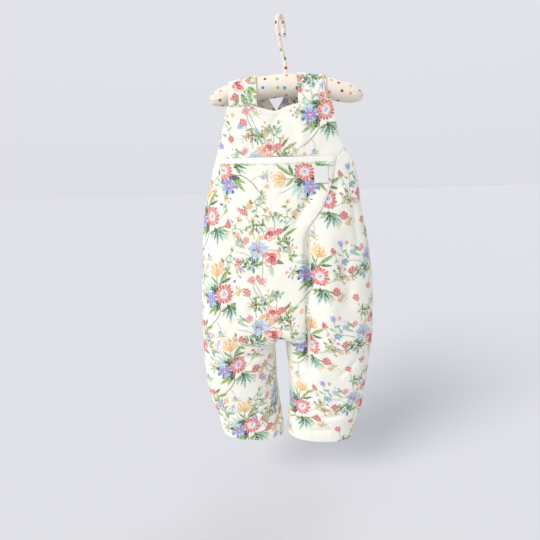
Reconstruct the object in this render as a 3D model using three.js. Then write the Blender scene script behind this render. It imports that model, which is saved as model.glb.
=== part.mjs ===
// Child's dungarees hanging by their straps from a padded hanger.
//
// Millimetres, +Z up, the front faces -Y and +X is the right-hand side as seen from the front.
// The origin is the point inside the hanger's hook that rests on a rail. The cloth is a wall worked
// out from sections: each height has its outline, its depth and its seams, and every panel takes its
// points from the same surface, so that neighbouring panels meet with a sewing gap between them.
import * as THREE from "three";

// ---- driving dimensions -------------------------------------------------------------------------
const CLOTH = 2.0; // body cloth and its lining
const STRAP_CLOTH = 2.0; // folded strap
const SEAM_GAP = 0.3; // between neighbouring pieces
const HEM_RAISE = 0.7; // a turned hem is thicker by this

const BIB_TOP = -158; // level of the bib's top edge
const SIDE_TOP = -238; // top of the side panels, on the armhole edge
const POUCH_TOP = -255; // level of the pouch pocket's open edge
const SEAM_SETTLED = -264; // below here the centre panel's seams follow their table
const BACK_TOP = -272; // level of the back's top edge
const UNDERARM = -334; // top of the side seams
const LEG_SEAM = -622; // level of the centre panel's bottom edge, sewn to the legs
const HEM = -858; // level of the leg hems
const HEM_DEPTH = 16;
const TILT = 0.06; // the hems hang this much lower to the right, for each millimetre across
const CROTCH_DROP = 5; // how far the crotch hangs below the outer end of the leg seam
const CROTCH_CURVE = 30; // height in which the panel turns under to the crotch
const POUCH = { mouth: 3.5, corner: 7 }; // how far its mouth stands open, and its corners' rounding

const BAR = { x: 8, z: -118, halfLength: 150, radius: 21.5, droop: 12 };
const STRAP = {
  width: 54,
  left: -76, // middles where they lie over the bar
  right: 56,
  middle: -10, // where they cross, and how far from there each ends
  backOffset: 44,
  end: -180, // lower ends, tucked in behind the bib and inside the back
  backEnd: -292,
  clearance: 0.9, // to the bar
  tuck: 1.1, // to the cloth that it is tucked behind
  crossing: 4, // the right strap passes this far inside the left one
};
const HOOK = { wire: 4.2, radius: 20, turn: 20.5, bends: [[-1, -9, -50], [6, -1, -74]] };
const LABEL = { left: 55, right: 83, top: -274, bottom: -307, thickness: 0.8, clearance: 0.4 };

// ---- sections, from the top down ----------------------------------------------------------------
const rows = (names, list) =>
  list.map((values) => Object.fromEntries(names.split(" ").map((name, i) => [name, values[i]])));

// side seams, or the armhole edges above the underarm
const OUTLINE = rows("z left right", [
  [-148, -102, 88],
  [-180, -113, 98],
  [-226, -125, 111],
  [-245, -130, 124],
  [-274, -140, 139],
  [-307, -149, 148],
  [-334, -158, 153],
  [-365, -164, 158],
  [-409, -169, 168],
  [-466, -174, 176],
  [-523, -178, 182],
  [-622, -181, 182],
  [-683, -181, 177],
  [-740, -178, 169],
  [-789, -167, 161],
  [-824, -157, 149],
  [-858, -150, 142],
]);

// the back narrows faster than the front between the underarm and its top edge
const BACK_OUTLINE = rows("z left right", [
  [-272, -90, 72],
  [-288, -98, 82],
  [-310, -122, 112],
  [-334, -158, 153],
]);

// seams between the centre and the side panels, carried on down the legs as a column of points
const PANEL = rows("z left right", [
  [-262, -124, 98],
  [-308, -121, 89],
  [-352, -113, 70],
  [-400, -103, 37],
  [-421, -99, 31],
  [-486, -100, 32],
  [-622, -104, 34],
  [-720, -102, 40],
  [-858, -90, 55],
]);

// inner edges of the legs; above the leg seam they bound the crotch strip
const INNER = rows("z left right", [
  [-148, -19, 3],
  [-400, -23, -1],
  [-622, -26, -4],
  [-640, -28, -3],
  [-690, -27, 1],
  [-730, -26, 4],
  [-780, -21, 3],
  [-824, -15, -1],
  [-858, -13, -2],
]);

// y of each wall's crest and of its edges; round is 0 for a flat bib, 1 for half a tube
const FRONT_DEPTH = rows("z crest edge round", [
  [-148, -30, -28, 0],
  [-200, -38, -27, 0],
  [-255, -46, -23, 0.15],
  [-290, -52, -12, 0.5],
  [-334, -58, 0, 0.95],
  [-352, -60, 0, 1],
  [-400, -66, 0, 1],
  [-480, -73, 0, 1],
  [-560, -77, 0, 1],
  [-622, -76, 0, 1],
  [-660, -71, 0, 1],
  [-720, -63, 0, 1],
  [-790, -53, 0, 1],
  [-858, -45, 0, 1],
]);
const BACK_DEPTH = rows("z crest edge round", [
  [-272, 38, 35, 0],
  [-290, 42, 36, 0.05],
  [-312, 47, 28, 0.4],
  [-334, 50, 0, 0.95],
  [-352, 52, 0, 1],
  [-400, 57, 0, 1],
  [-480, 62, 0, 1],
  [-560, 63, 0, 1],
  [-622, 60, 0, 1],
  [-720, 52, 0, 1],
  [-790, 46, 0, 1],
  [-858, 42, 0, 1],
]);

// the bib's top edge dips between the straps
const NECKLINE = rows("x lift", [
  [-105, -2],
  [-55, -3],
  [-14, -11],
  [5, -4],
  [30, 2],
  [62, 7],
  [90, 9],
]);

// soft folds, as troughs pressed into the wall (or ridges, with a negative depth) along a line
const FRONT_FOLDS = rows("x1 z1 x2 z2 width depth", [
  [45, -385, 41, -560, 9, 12],
  [41, -560, 46, -700, 10, 12],
  [-108, -410, -106, -600, 11, 4],
  [-103, -640, -88, -700, 10, 7],
  [50, -322, 14, -392, 11, 6],
  [86, -360, 80, -640, 24, -7],
  [-140, -400, -142, -640, 22, -4],
  [-4, -172, -36, -222, 9, 3],
  [24, -168, 40, -236, 10, -3],
  [-92, -648, -40, -654, 7, 5],
  [-84, -790, -30, -776, 5, 3.5],
  [-112, -806, -66, -812, 5, 3],
  [14, -775, 84, -770, 5, 3.5],
  [30, -806, 118, -798, 6, 3],
  [112, -420, 128, -560, 12, 3],
  [-70, -470, -30, -560, 14, 2],
]);
const BACK_FOLDS = rows("x1 z1 x2 z2 width depth", [
  [-62, -290, -96, -470, 12, 6],
  [48, -290, 92, -500, 12, 6],
  [-8, -330, -18, -600, 16, 5],
  [-98, -500, -100, -700, 11, 7],
  [64, -520, 72, -720, 11, 8],
  [-120, -780, -50, -770, 6, 3],
  [30, -792, 100, -780, 6, 3],
]);

// ---- small helpers ------------------------------------------------------------------------------
const { lerp, clamp } = THREE.MathUtils;
const smooth = (from, to, x) => {
  const t = clamp((x - from) / (to - from), 0, 1);
  return t * t * (3 - 2 * t);
};

// A table's column at a height (or at x, where the rows go by x), by a cubic that doesn't overshoot.
function read(table, at, name, by = "z") {
  const last = table.length - 1;
  const down = Math.sign(table[0][by] - table[last][by]);
  if ((table[0][by] - at) * down <= 0) return table[0][name];
  if ((at - table[last][by]) * down <= 0) return table[last][name];
  const i = table.findIndex((row) => (row[by] - at) * down < 0) - 1;
  const rise = (k) => (table[k + 1][name] - table[k][name]) / (table[k + 1][by] - table[k][by]);
  const slope = (k) => {
    if (k === 0) return rise(0);
    if (k === last) return rise(last - 1);
    const [a, b] = [rise(k - 1), rise(k)];
    return a * b <= 0 ? 0 : (2 * a * b) / (a + b);
  };
  const [p, q] = [table[i], table[i + 1]];
  const step = q[by] - p[by];
  const t = (at - p[by]) / step;
  return (
    p[name] * (1 + 2 * t) * (1 - t) ** 2 +
    q[name] * t * t * (3 - 2 * t) +
    step * (slope(i) * t * (1 - t) ** 2 - slope(i + 1) * t * t * (1 - t))
  );
}

// How far folds press the wall in at x, z.
function foldDepth(folds, x, z) {
  return folds.reduce((sum, f) => {
    const [dx, dz] = [f.x2 - f.x1, f.z2 - f.z1];
    const length = Math.hypot(dx, dz);
    const along = ((x - f.x1) * dx + (z - f.z1) * dz) / length;
    const across = ((x - f.x1) * dz - (z - f.z1) * dx) / length;
    const ends = smooth(-f.width, length * 0.25, along) * smooth(length + f.width, length * 0.75, along);
    return sum + f.depth * ends * Math.exp(-((across / f.width) ** 2));
  }, 0);
}

// ---- the cloth's middle surface -----------------------------------------------------------------
// A column of points on one half of a wall: part "side" runs from the side seam to the pouch's edge,
// "panel" on to the leg's inner edge, and "crotch" over the strip between the legs.
function columns(side, panel, crotch) {
  const list = [];
  for (let i = 0; i <= side; i++) list.push({ part: "side", share: i / side });
  for (let i = 1; i <= panel; i++) list.push({ part: "panel", share: i / panel });
  for (let i = 1; i <= crotch; i++) list.push({ part: "crotch", share: i / crotch });
  return list;
}

const sideOf = (half) => (half < 0 ? "left" : "right");
const centreAt = (level) => (read(INNER, level, "left") + read(INNER, level, "right")) / 2;
const isBackTop = (wall, level) => wall > 0 && level > UNDERARM;
const sideAt = (wall, half, level) =>
  read(isBackTop(wall, level) ? BACK_OUTLINE : OUTLINE, level, sideOf(half));

// From the armhole edge the centre panel's seam runs in to its full distance.
const seamLeaves = (level) => (level > SIDE_TOP ? 0 : smooth(SIDE_TOP + 6, SEAM_SETTLED, level));

function columnX(wall, half, { part, share }, level) {
  const side = sideAt(wall, half, level);
  const panel = read(PANEL, level, sideOf(half));
  const seam = isBackTop(wall, level) ? lerp(side, panel, 0.5) : lerp(side, panel, seamLeaves(level));
  const inner = read(INNER, level, sideOf(half));
  if (part === "side") return lerp(side, seam, (1 - Math.cos(Math.PI * share)) / 2);
  if (part === "crotch") return lerp(inner, centreAt(level), share);
  const crowded = smooth(LEG_SEAM + 150, LEG_SEAM, level);
  return lerp(seam, inner, lerp(share, Math.sin((Math.PI * share) / 2), crowded));
}

// The wall's middle at x. A wall stands out from 0 at its edge to 1 at its crest, as a body above
// the leg seam and as a leg below it.
function onWall(wall, x, level) {
  const centre = centreAt(level);
  const half = x < centre ? -1 : 1;
  const side = sideAt(wall, half, level);
  const acrossBody = clamp((x - side) / (centre - side), 0, 1);
  const acrossLeg = clamp((x - side) / (read(INNER, level, sideOf(half)) - side), 0, 1);
  const depth = wall < 0 ? FRONT_DEPTH : BACK_DEPTH;
  const flat = 1 - (1 - acrossBody) ** 2;
  const tube = (1 - (1 - acrossBody) ** 2.5) ** (1 / 2.5);
  const body = lerp(flat, tube, read(depth, level, "round"));
  const leg = (1 - Math.abs(2 * acrossLeg - 1) ** 2.3) ** (1 / 2.3);
  const rise = clamp((level - LEG_SEAM) / CROTCH_CURVE, 0, 1);
  const turnsUnder = Math.sqrt(1 - (1 - rise) ** 2);
  const blends = smooth(LEG_SEAM - 60, LEG_SEAM + 150, level);
  const bodyShare = lerp(blends, turnsUnder, smooth(0.5, 0.95, acrossLeg));
  const standsOut = lerp(leg, body, bodyShare);

  const near = Math.min(1, Math.abs(level - LEG_SEAM) / 70);
  const droop = CROTCH_DROP * smooth(0.5, 1, acrossLeg) * (1 + Math.cos(Math.PI * near)) * 0.5;
  const lift = wall < 0 ? read(NECKLINE, x, "lift", "x") * smooth(BIB_TOP - 60, BIB_TOP, level) : 0;
  const z = level - droop + lift - TILT * (x - centre) * smooth(LEG_SEAM, HEM, level);

  const calm = smooth(0, 0.14, acrossBody) * (level < LEG_SEAM ? smooth(1, 0.86, acrossLeg) : 1);
  const pressed = calm * foldDepth(wall < 0 ? FRONT_FOLDS : BACK_FOLDS, x, z);
  const y = lerp(read(depth, level, "edge"), read(depth, level, "crest"), standsOut) - wall * pressed;
  return new THREE.Vector3(x, y, z);
}

const pointAt = (wall, half, column, level) => onWall(wall, columnX(wall, half, column, level), level);

// ---- sheets of cloth ----------------------------------------------------------------------------
// A grid of points, wound so that its faces look outward on the front (wall -1) and on the back.
// Only the cells that has(row, column) accepts are cloth.
function grid(name, wall, lines, has = () => true) {
  const across = lines[0].length;
  const points = [];
  const numbers = new Map();
  const numberOf = (i, j) => {
    const key = i * across + j;
    if (!numbers.has(key)) numbers.set(key, points.push(lines[i][j]) - 1);
    return numbers.get(key);
  };
  const quads = [];
  for (let i = 0; i + 1 < lines.length; i++)
    for (let j = 0; j + 1 < across; j++) {
      if (!has(i, j)) continue;
      const quad = [numberOf(i, j), numberOf(i + 1, j), numberOf(i + 1, j + 1), numberOf(i, j + 1)];
      quads.push(wall < 0 ? quad : quad.reverse());
    }
  return { name, points, quads };
}

const keyOf = (p) => p.toArray().map((value) => Math.round(value * 100)).join();

// Outward direction at every point, shared by the sheets that meet there.
function sharedNormals(sheets) {
  const sums = new Map();
  for (const { points, quads } of sheets)
    for (const quad of quads)
      for (const [a, b, c] of [
        [quad[0], quad[1], quad[2]],
        [quad[0], quad[2], quad[3]],
      ]) {
        const ab = points[b].clone().sub(points[a]);
        const face = ab.cross(points[c].clone().sub(points[a]));
        for (const corner of [a, b, c]) {
          const key = keyOf(points[corner]);
          sums.set(key, (sums.get(key) ?? new THREE.Vector3()).add(face));
        }
      }
  return (p) => sums.get(keyOf(p)).clone().normalize();
}

// The edges that only one face has, as pairs of point numbers in the face's order.
function rimOf(quads) {
  const edges = new Map();
  for (const quad of quads)
    quad.forEach((a, k) => {
      const b = quad[(k + 1) % 4];
      if (!edges.delete(`${b},${a}`)) edges.set(`${a},${b}`, [a, b]);
    });
  return [...edges.values()];
}

// Gives a sheet its thickness: each point moves half of it each way, the rim is drawn in by half a
// sewing gap and closed. raise(point) thickens the outside, as a turned hem does.
function thicken({ points, quads }, normalAt, thickness, raise = () => 0) {
  const rim = rimOf(quads);
  const normals = points.map(normalAt);
  const inwards = points.map(() => []);
  for (const [a, b] of rim) {
    const edge = points[b].clone().sub(points[a]);
    for (const corner of [a, b]) inwards[corner].push(normals[corner].clone().cross(edge).normalize());
  }
  const inset = inwards.map(([u, v]) =>
    u ? u.clone().add(v).divideScalar(1 + Math.max(u.dot(v), -0.4)) : new THREE.Vector3(),
  );
  const middle = points.map((p, i) => p.clone().addScaledVector(inset[i], SEAM_GAP / 2));
  const outside = middle.map((p, i) =>
    p.clone().addScaledVector(normals[i], thickness / 2 + raise(points[i])),
  );
  const inside = middle.map((p, i) => p.clone().addScaledVector(normals[i], -thickness / 2));

  const n = points.length;
  const index = [];
  for (const [a, b, c, d] of quads) {
    index.push(a, b, c, a, c, d);
    index.push(n + a, n + c, n + b, n + a, n + d, n + c);
  }
  for (const [a, b] of rim)
    if (keyOf(points[a]) < keyOf(points[b])) index.push(b, a, n + a, b, n + a, n + b);
    else index.push(b, a, n + b, a, n + a, n + b);
  const geometry = new THREE.BufferGeometry();
  geometry.setFromPoints([...outside, ...inside]);
  geometry.setIndex(index);
  geometry.computeVertexNormals();
  return geometry;
}

// Levels from one height to another, about so far apart.
function levels(from, to, spacing) {
  const count = Math.max(1, Math.round(Math.abs(from - to) / spacing));
  return Array.from({ length: count + 1 }, (_, i) => lerp(from, to, i / count));
}

const CROTCH_LEVELS = [21, 14, 8, 3.5, 1, 0].map((rise) => LEG_SEAM + rise);
const BODY_LEVELS = [
  ...levels(SEAM_SETTLED, UNDERARM, 18),
  ...levels(UNDERARM, LEG_SEAM + CROTCH_CURVE, 23).slice(1),
  ...CROTCH_LEVELS,
];
const LEG_LEVELS = [
  ...[3, 10].map((fall) => LEG_SEAM - fall),
  ...levels(LEG_SEAM - 22, HEM + HEM_DEPTH + 2, 24),
  HEM + HEM_DEPTH,
  HEM,
];
const TO_POUCH = levels(SIDE_TOP, POUCH_TOP, 8);
const FRONT_LEVELS = [...levels(BIB_TOP, SIDE_TOP + 2, 13), ...TO_POUCH, ...BODY_LEVELS];
const SIDE_LEVELS = [...TO_POUCH, ...BODY_LEVELS, ...LEG_LEVELS];
const BACK_LEVELS = [
  ...levels(BACK_TOP, BACK_TOP - 14, 14),
  ...BODY_LEVELS.filter((level) => level < BACK_TOP - 20),
  ...LEG_LEVELS,
];

const FRONT_COLUMNS = columns(8, 6, 2);
const BACK_COLUMNS = columns(6, 4, 2);
const count = (cols, ...parts) => cols.filter(({ part }) => parts.includes(part)).length;

// The centre of the front, from the bib's top edge to the crotch, from seam to seam.
function frontLines() {
  const centre = FRONT_COLUMNS.slice(count(FRONT_COLUMNS, "side") - 1);
  const line = (half, level) => centre.map((column) => pointAt(-1, half, column, level));
  return FRONT_LEVELS.map((level) => [...line(-1, level), ...line(1, level).reverse().slice(1)]);
}

// One side of a wall. Beside the front's centre panel only its side columns are cloth, and below the
// crotch neither wall has the columns between the legs.
function sidePanel(name, wall, half) {
  const [cols, heights] = wall < 0 ? [FRONT_COLUMNS, SIDE_LEVELS] : [BACK_COLUMNS, BACK_LEVELS];
  const lines = heights.map((level) => cols.map((column) => pointAt(wall, half, column, level)));
  const last = cols.length - 1;
  if (half > 0) lines.forEach((line) => line.reverse());
  const above = wall < 0 ? count(cols, "side") - 1 : last;
  const below = count(cols, "side", "panel") - 1;
  return grid(name, wall, lines, (i, j) => {
    const column = half < 0 ? j : last - 1 - j;
    return column < (heights[i] > LEG_SEAM ? above : below);
  });
}

const front = grid("front_centre", -1, frontLines());
const sides = [
  sidePanel("front_side_left", -1, -1),
  sidePanel("front_side_right", -1, 1),
  sidePanel("back_left", 1, -1),
  sidePanel("back_right", 1, 1),
];
const bodyNormal = sharedNormals([front, ...sides]);

// The pouch is made from the centre panel's points, moved out. Each keeps the direction it moved in.
const pouchNormals = new Map();
function pouchSheet() {
  const lines = frontLines().slice(FRONT_LEVELS.indexOf(POUCH_TOP), -1);
  const last = lines[0].length - 1;
  const normals = lines.map((line) => line.map(bodyNormal));
  const moved = lines.map((line, i) =>
    line.map((p, j) => {
      const gapes = POUCH.mouth * Math.sin((Math.PI * j) / last) ** 2 * smooth(-285, POUCH_TOP, p.z);
      return p.clone().addScaledVector(normals[i][j], CLOTH + SEAM_GAP + gapes);
    }),
  );
  for (const [corner, next] of [[0, 1], [last, last - 1]])
    moved[0][corner].lerp(moved[0][next], POUCH.corner / moved[0][corner].distanceTo(moved[0][next]));
  moved.forEach((line, i) => line.forEach((p, j) => pouchNormals.set(keyOf(p), normals[i][j])));
  return grid("pouch", -1, moved);
}

function labelSheet() {
  const out = CLOTH * 1.5 + 2 * SEAM_GAP + LABEL.thickness / 2 + LABEL.clearance;
  const lines = levels(LABEL.top, LABEL.bottom, 11).map((z) =>
    levels(LABEL.left, LABEL.right, 9).map((x) => {
      const [acrossX, acrossZ] = [[2, 0], [0, 2]].map(([dx, dz]) =>
        onWall(-1, x + dx, z + dz).sub(onWall(-1, x - dx, z - dz)),
      );
      return onWall(-1, x, z).addScaledVector(acrossX.cross(acrossZ).normalize(), out);
    }),
  );
  return grid("label", -1, lines);
}

// ---- straps -------------------------------------------------------------------------------------
const barDrop = (x) => BAR.droop * Math.abs((x - BAR.x) / 100) ** 1.6;
const barRadius = (x) => {
  const end = Math.abs(x - BAR.x) / BAR.halfLength;
  return BAR.radius * (1 - end ** 10) ** 0.5 * (1 - 0.14 * end * end);
};

// A strap rises behind the bib's top edge, lies over the bar and slants across the back to the
// other side, where it ends inside the back's top edge. Where they cross, it lies deep under the other.
function strapSheet(name, from, deep) {
  const to = STRAP.middle + STRAP.backOffset * Math.sign(STRAP.middle - from);
  const around = (x) => barRadius(x) + STRAP.clearance + STRAP_CLOTH / 2;
  const rest = around(from);
  const axisZ = BAR.z - barDrop(from);
  const tilt = Math.atan2(barDrop(from + 20) - barDrop(from - 20), 40);
  const up = new THREE.Vector3(Math.sin(tilt), 0, Math.cos(tilt));
  const path = [];
  const straight = (wall) => (z) =>
    path.push({ at: new THREE.Vector3(from, wall * rest, z), out: new THREE.Vector3(0, wall, 0), wall });
  levels(STRAP.end, axisZ, 13).slice(0, -1).forEach(straight(-1));
  for (let i = 0; i <= 12; i++) {
    const angle = (Math.PI * i) / 12;
    const out = new THREE.Vector3(0, -Math.cos(angle), 0).addScaledVector(up, Math.sin(angle));
    path.push({ at: new THREE.Vector3(from, 0, axisZ).addScaledVector(out, rest), out, wall: 0 });
  }
  const leaves = path.length - 5;
  levels(axisZ, STRAP.backEnd, 12).slice(1).forEach(straight(1));

  // From behind the bar's top on, the strap also moves sideways, evenly along its length.
  let run = 0;
  const lengths = path.map(({ at }, i) => (i > leaves ? (run += at.distanceTo(path[i - 1].at)) : 0));
  path.forEach(({ at }, i) => (at.x = lerp(from, to, lengths[i] / run)));
  const inFront = (CLOTH + STRAP_CLOTH) / 2 + STRAP.tuck;
  const lines = path.map(({ at, out, wall }, i) => {
    const before = path[Math.max(0, i - 1)].at;
    const after = path[Math.min(path.length - 1, i + 1)].at;
    const sideways = after.clone().sub(before).normalize().cross(out).normalize();
    return [-0.5, -0.25, 0, 0.25, 0.5].map((share) => {
      const p = at.clone().addScaledVector(sideways, share * STRAP.width);
      const axis = new THREE.Vector3(p.x, 0, BAR.z - barDrop(p.x));
      if (p.distanceTo(axis) < around(p.x)) p.sub(axis).setLength(around(p.x)).add(axis);
      if (wall === 0) return p;
      const edge = wall < 0 ? BIB_TOP : BACK_TOP;
      const inside = onWall(wall, p.x, Math.min(p.z, edge)).y - wall * inFront;
      p.y = lerp(p.y, inside, smooth(axisZ, edge + 4, p.z));
      const crosses = smooth(axisZ, axisZ - 30, p.z) * smooth(BACK_TOP - 14, BACK_TOP + 4, p.z);
      if (wall > 0) p.y -= deep * crosses;
      return p;
    });
  });
  return grid(name, 1, lines);
}

// ---- hanger -------------------------------------------------------------------------------------
// A body from closed rings of equal count, with a pole point at each end.
function loft(ringList, start, end) {
  const count = ringList[0].length;
  const points = [start, ...ringList.flat(), end];
  const index = [];
  const at = (ring, k) => 1 + ring * count + (k % count);
  for (let k = 0; k < count; k++) {
    index.push(0, at(0, k + 1), at(0, k));
    index.push(points.length - 1, at(ringList.length - 1, k), at(ringList.length - 1, k + 1));
    for (let i = 0; i + 1 < ringList.length; i++) {
      index.push(at(i, k), at(i, k + 1), at(i + 1, k + 1));
      index.push(at(i, k), at(i + 1, k + 1), at(i + 1, k));
    }
  }
  const geometry = new THREE.BufferGeometry().setFromPoints(points);
  geometry.setIndex(index);
  geometry.computeVertexNormals();
  return geometry;
}

function padGeometry() {
  const sides = 16;
  const angles = Array.from({ length: 19 }, (_, i) => (Math.PI * (i + 0.6)) / 19.2);
  const spots = angles.map((angle) => BAR.x - BAR.halfLength * Math.cos(angle));
  const ringList = spots.map((x) =>
    Array.from({ length: sides }, (_, k) => {
      const angle = (2 * Math.PI * k) / sides;
      const r = barRadius(x);
      return new THREE.Vector3(x, r * Math.cos(angle), BAR.z - barDrop(x) + r * Math.sin(angle));
    }),
  );
  const tip = (sign) => {
    const x = BAR.x + sign * BAR.halfLength;
    return new THREE.Vector3(x, 0, BAR.z - barDrop(x));
  };
  return loft(ringList, tip(-1), tip(1));
}

// The hook is a wrapped wire: an arc over the rail, then a stem that leans back to the bar's middle.
function hookGeometry() {
  const turn = THREE.MathUtils.degToRad(HOOK.turn);
  const toTip = new THREE.Vector3(Math.sin(turn), Math.cos(turn), 0);
  const middle = HOOK.wire - HOOK.radius;
  const points = [];
  for (let degrees = -25; degrees <= 200; degrees += 15) {
    const angle = THREE.MathUtils.degToRad(degrees);
    const p = toTip.clone().multiplyScalar(HOOK.radius * Math.cos(angle));
    points.push(p.setZ(middle + HOOK.radius * Math.sin(angle)));
  }
  const foot = BAR.z + BAR.radius + SEAM_GAP;
  for (const bend of HOOK.bends) points.push(new THREE.Vector3(...bend));
  points.push(new THREE.Vector3(BAR.x, 0, foot + 8), new THREE.Vector3(BAR.x, 0, foot));
  const path = new THREE.CatmullRomCurve3(points);
  const steps = 34;
  const sides = 8;
  const planeNormal = new THREE.Vector3(Math.cos(turn), -Math.sin(turn), 0);
  const ringList = Array.from({ length: steps + 1 }, (_, i) => {
    const at = path.getPointAt(i / steps);
    const along = i === steps ? new THREE.Vector3(0, 0, -1) : path.getTangentAt(i / steps);
    const u = planeNormal.clone().addScaledVector(along, -planeNormal.dot(along)).normalize();
    const v = along.clone().cross(u);
    return Array.from({ length: sides }, (_, k) => {
      const angle = (2 * Math.PI * k) / sides;
      return at
        .clone()
        .addScaledVector(u, HOOK.wire * Math.cos(angle))
        .addScaledVector(v, HOOK.wire * Math.sin(angle));
    });
  });
  const tip = path.getPointAt(0).addScaledVector(path.getTangentAt(0), -HOOK.wire * 0.6);
  return loft(ringList, tip, path.getPointAt(1));
}

// ---- the part -----------------------------------------------------------------------------------
const paint = (color, roughness) => new THREE.MeshStandardMaterial({ color, roughness, metalness: 0 });
const FABRIC = paint(0xf6f1e2, 0.85);
const LABEL_FABRIC = paint(0xe9ece8, 0.8);
const PAD_FABRIC = paint(0xf3e6d6, 0.85);

const part = new THREE.Group();
function add(name, geometry, material) {
  const mesh = new THREE.Mesh(geometry, material);
  mesh.name = name;
  part.add(mesh);
}
function addSheet(sheet, normalAt, thickness, material, raise) {
  add(sheet.name, thicken(sheet, normalAt, thickness, raise), material);
}

const aboveHem = (p) => p.z + TILT * (p.x - centreAt(HEM)) - HEM;
const hemRaise = (p) => (aboveHem(p) < HEM_DEPTH + 1 ? HEM_RAISE : 0);
for (const panel of [front, ...sides]) addSheet(panel, bodyNormal, CLOTH, FABRIC, hemRaise);
addSheet(pouchSheet(), (p) => pouchNormals.get(keyOf(p)), CLOTH, FABRIC);

const straps = [
  strapSheet("strap_left", STRAP.left, 0),
  strapSheet("strap_right", STRAP.right, STRAP.crossing),
];
for (const strap of straps) addSheet(strap, sharedNormals([strap]), STRAP_CLOTH, FABRIC);
const label = labelSheet();
addSheet(label, sharedNormals([label]), LABEL.thickness, LABEL_FABRIC);
add("hanger_pad", padGeometry(), PAD_FABRIC);
add("hanger_hook", hookGeometry(), PAD_FABRIC);

export default part;
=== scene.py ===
"""A child's dungarees hanging from a padded hanger: the finish of every piece.

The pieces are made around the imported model, in its frame: +Z up, the front faces -Y, the origin
is where the hook rests on a rail. The cloth's shape functions work in millimetres, as its cutting
does, and meshes are made in metres.
"""

import math
from types import SimpleNamespace

import bpy
import numpy as np
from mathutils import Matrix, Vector


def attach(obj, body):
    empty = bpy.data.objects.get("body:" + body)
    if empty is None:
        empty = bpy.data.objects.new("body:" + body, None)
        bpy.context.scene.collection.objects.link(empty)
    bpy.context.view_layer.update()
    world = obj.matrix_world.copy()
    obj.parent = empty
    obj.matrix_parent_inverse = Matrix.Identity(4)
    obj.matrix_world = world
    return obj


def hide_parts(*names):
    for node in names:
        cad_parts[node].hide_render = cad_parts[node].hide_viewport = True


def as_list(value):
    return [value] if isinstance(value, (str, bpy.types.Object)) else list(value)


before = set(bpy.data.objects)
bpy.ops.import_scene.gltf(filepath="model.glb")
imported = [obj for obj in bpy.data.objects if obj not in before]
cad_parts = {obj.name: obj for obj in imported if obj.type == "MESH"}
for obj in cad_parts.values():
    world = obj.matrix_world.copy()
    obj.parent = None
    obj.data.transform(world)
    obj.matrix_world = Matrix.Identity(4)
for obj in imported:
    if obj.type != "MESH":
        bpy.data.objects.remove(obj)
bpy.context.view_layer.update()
MM = 0.001

bl_info = {
    "name": "Dungarees on a padded hanger",
    "version": (1, 0, 0),
    "blender": (4, 5, 0),
    "location": "3D View > Sidebar > Dungarees",
    "description": "Makes a child's floral dungarees, the hanger they hang from and a studio",
    "category": "Object",
}


def linear(code):
    """The linear colour of an sRGB hex value such as '#e8707a'."""
    values = [int(code[i : i + 2], 16) / 255 for i in (1, 3, 5)]
    return tuple(c / 12.92 if c <= 0.04045 else ((c + 0.055) / 1.055) ** 2.4 for c in values)


def length(name, description, millimetres):
    return bpy.props.FloatProperty(
        name=name, description=description, default=millimetres * MM, min=0, unit="LENGTH"
    )


def colour(name, code, description):
    return bpy.props.FloatVectorProperty(
        name=name, description=description, default=linear(code), size=3, subtype="COLOR"
    )


class DungareesSizes(bpy.types.PropertyGroup):
    """What a cutter would change."""

    cloth: length("Cloth", "Thickness of the body cloth with its lining", 2.0)
    strap_cloth: length("Strap cloth", "Thickness of a folded strap", 2.0)
    seam_gap: length("Seam gap", "Between neighbouring pieces", 0.1)
    hem_depth: length("Hem depth", "How far up a leg its turned hem reaches", 16)
    fine: length("Front spacing", "Between the points of the front's cloth", 1.3)
    medium: length("Back spacing", "Between the points of the back's cloth", 1.9)
    coarse: length("Inside spacing", "Between the points of the cloth's inside", 9)
    repeat: length("Print repeat", "Height of the print's repeat", 155)
    stitch: length("Stitch", "From one topstitch to the next", 3.2)
    thread: length("Thread", "Thickness of the sewing thread", 0.55)


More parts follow.
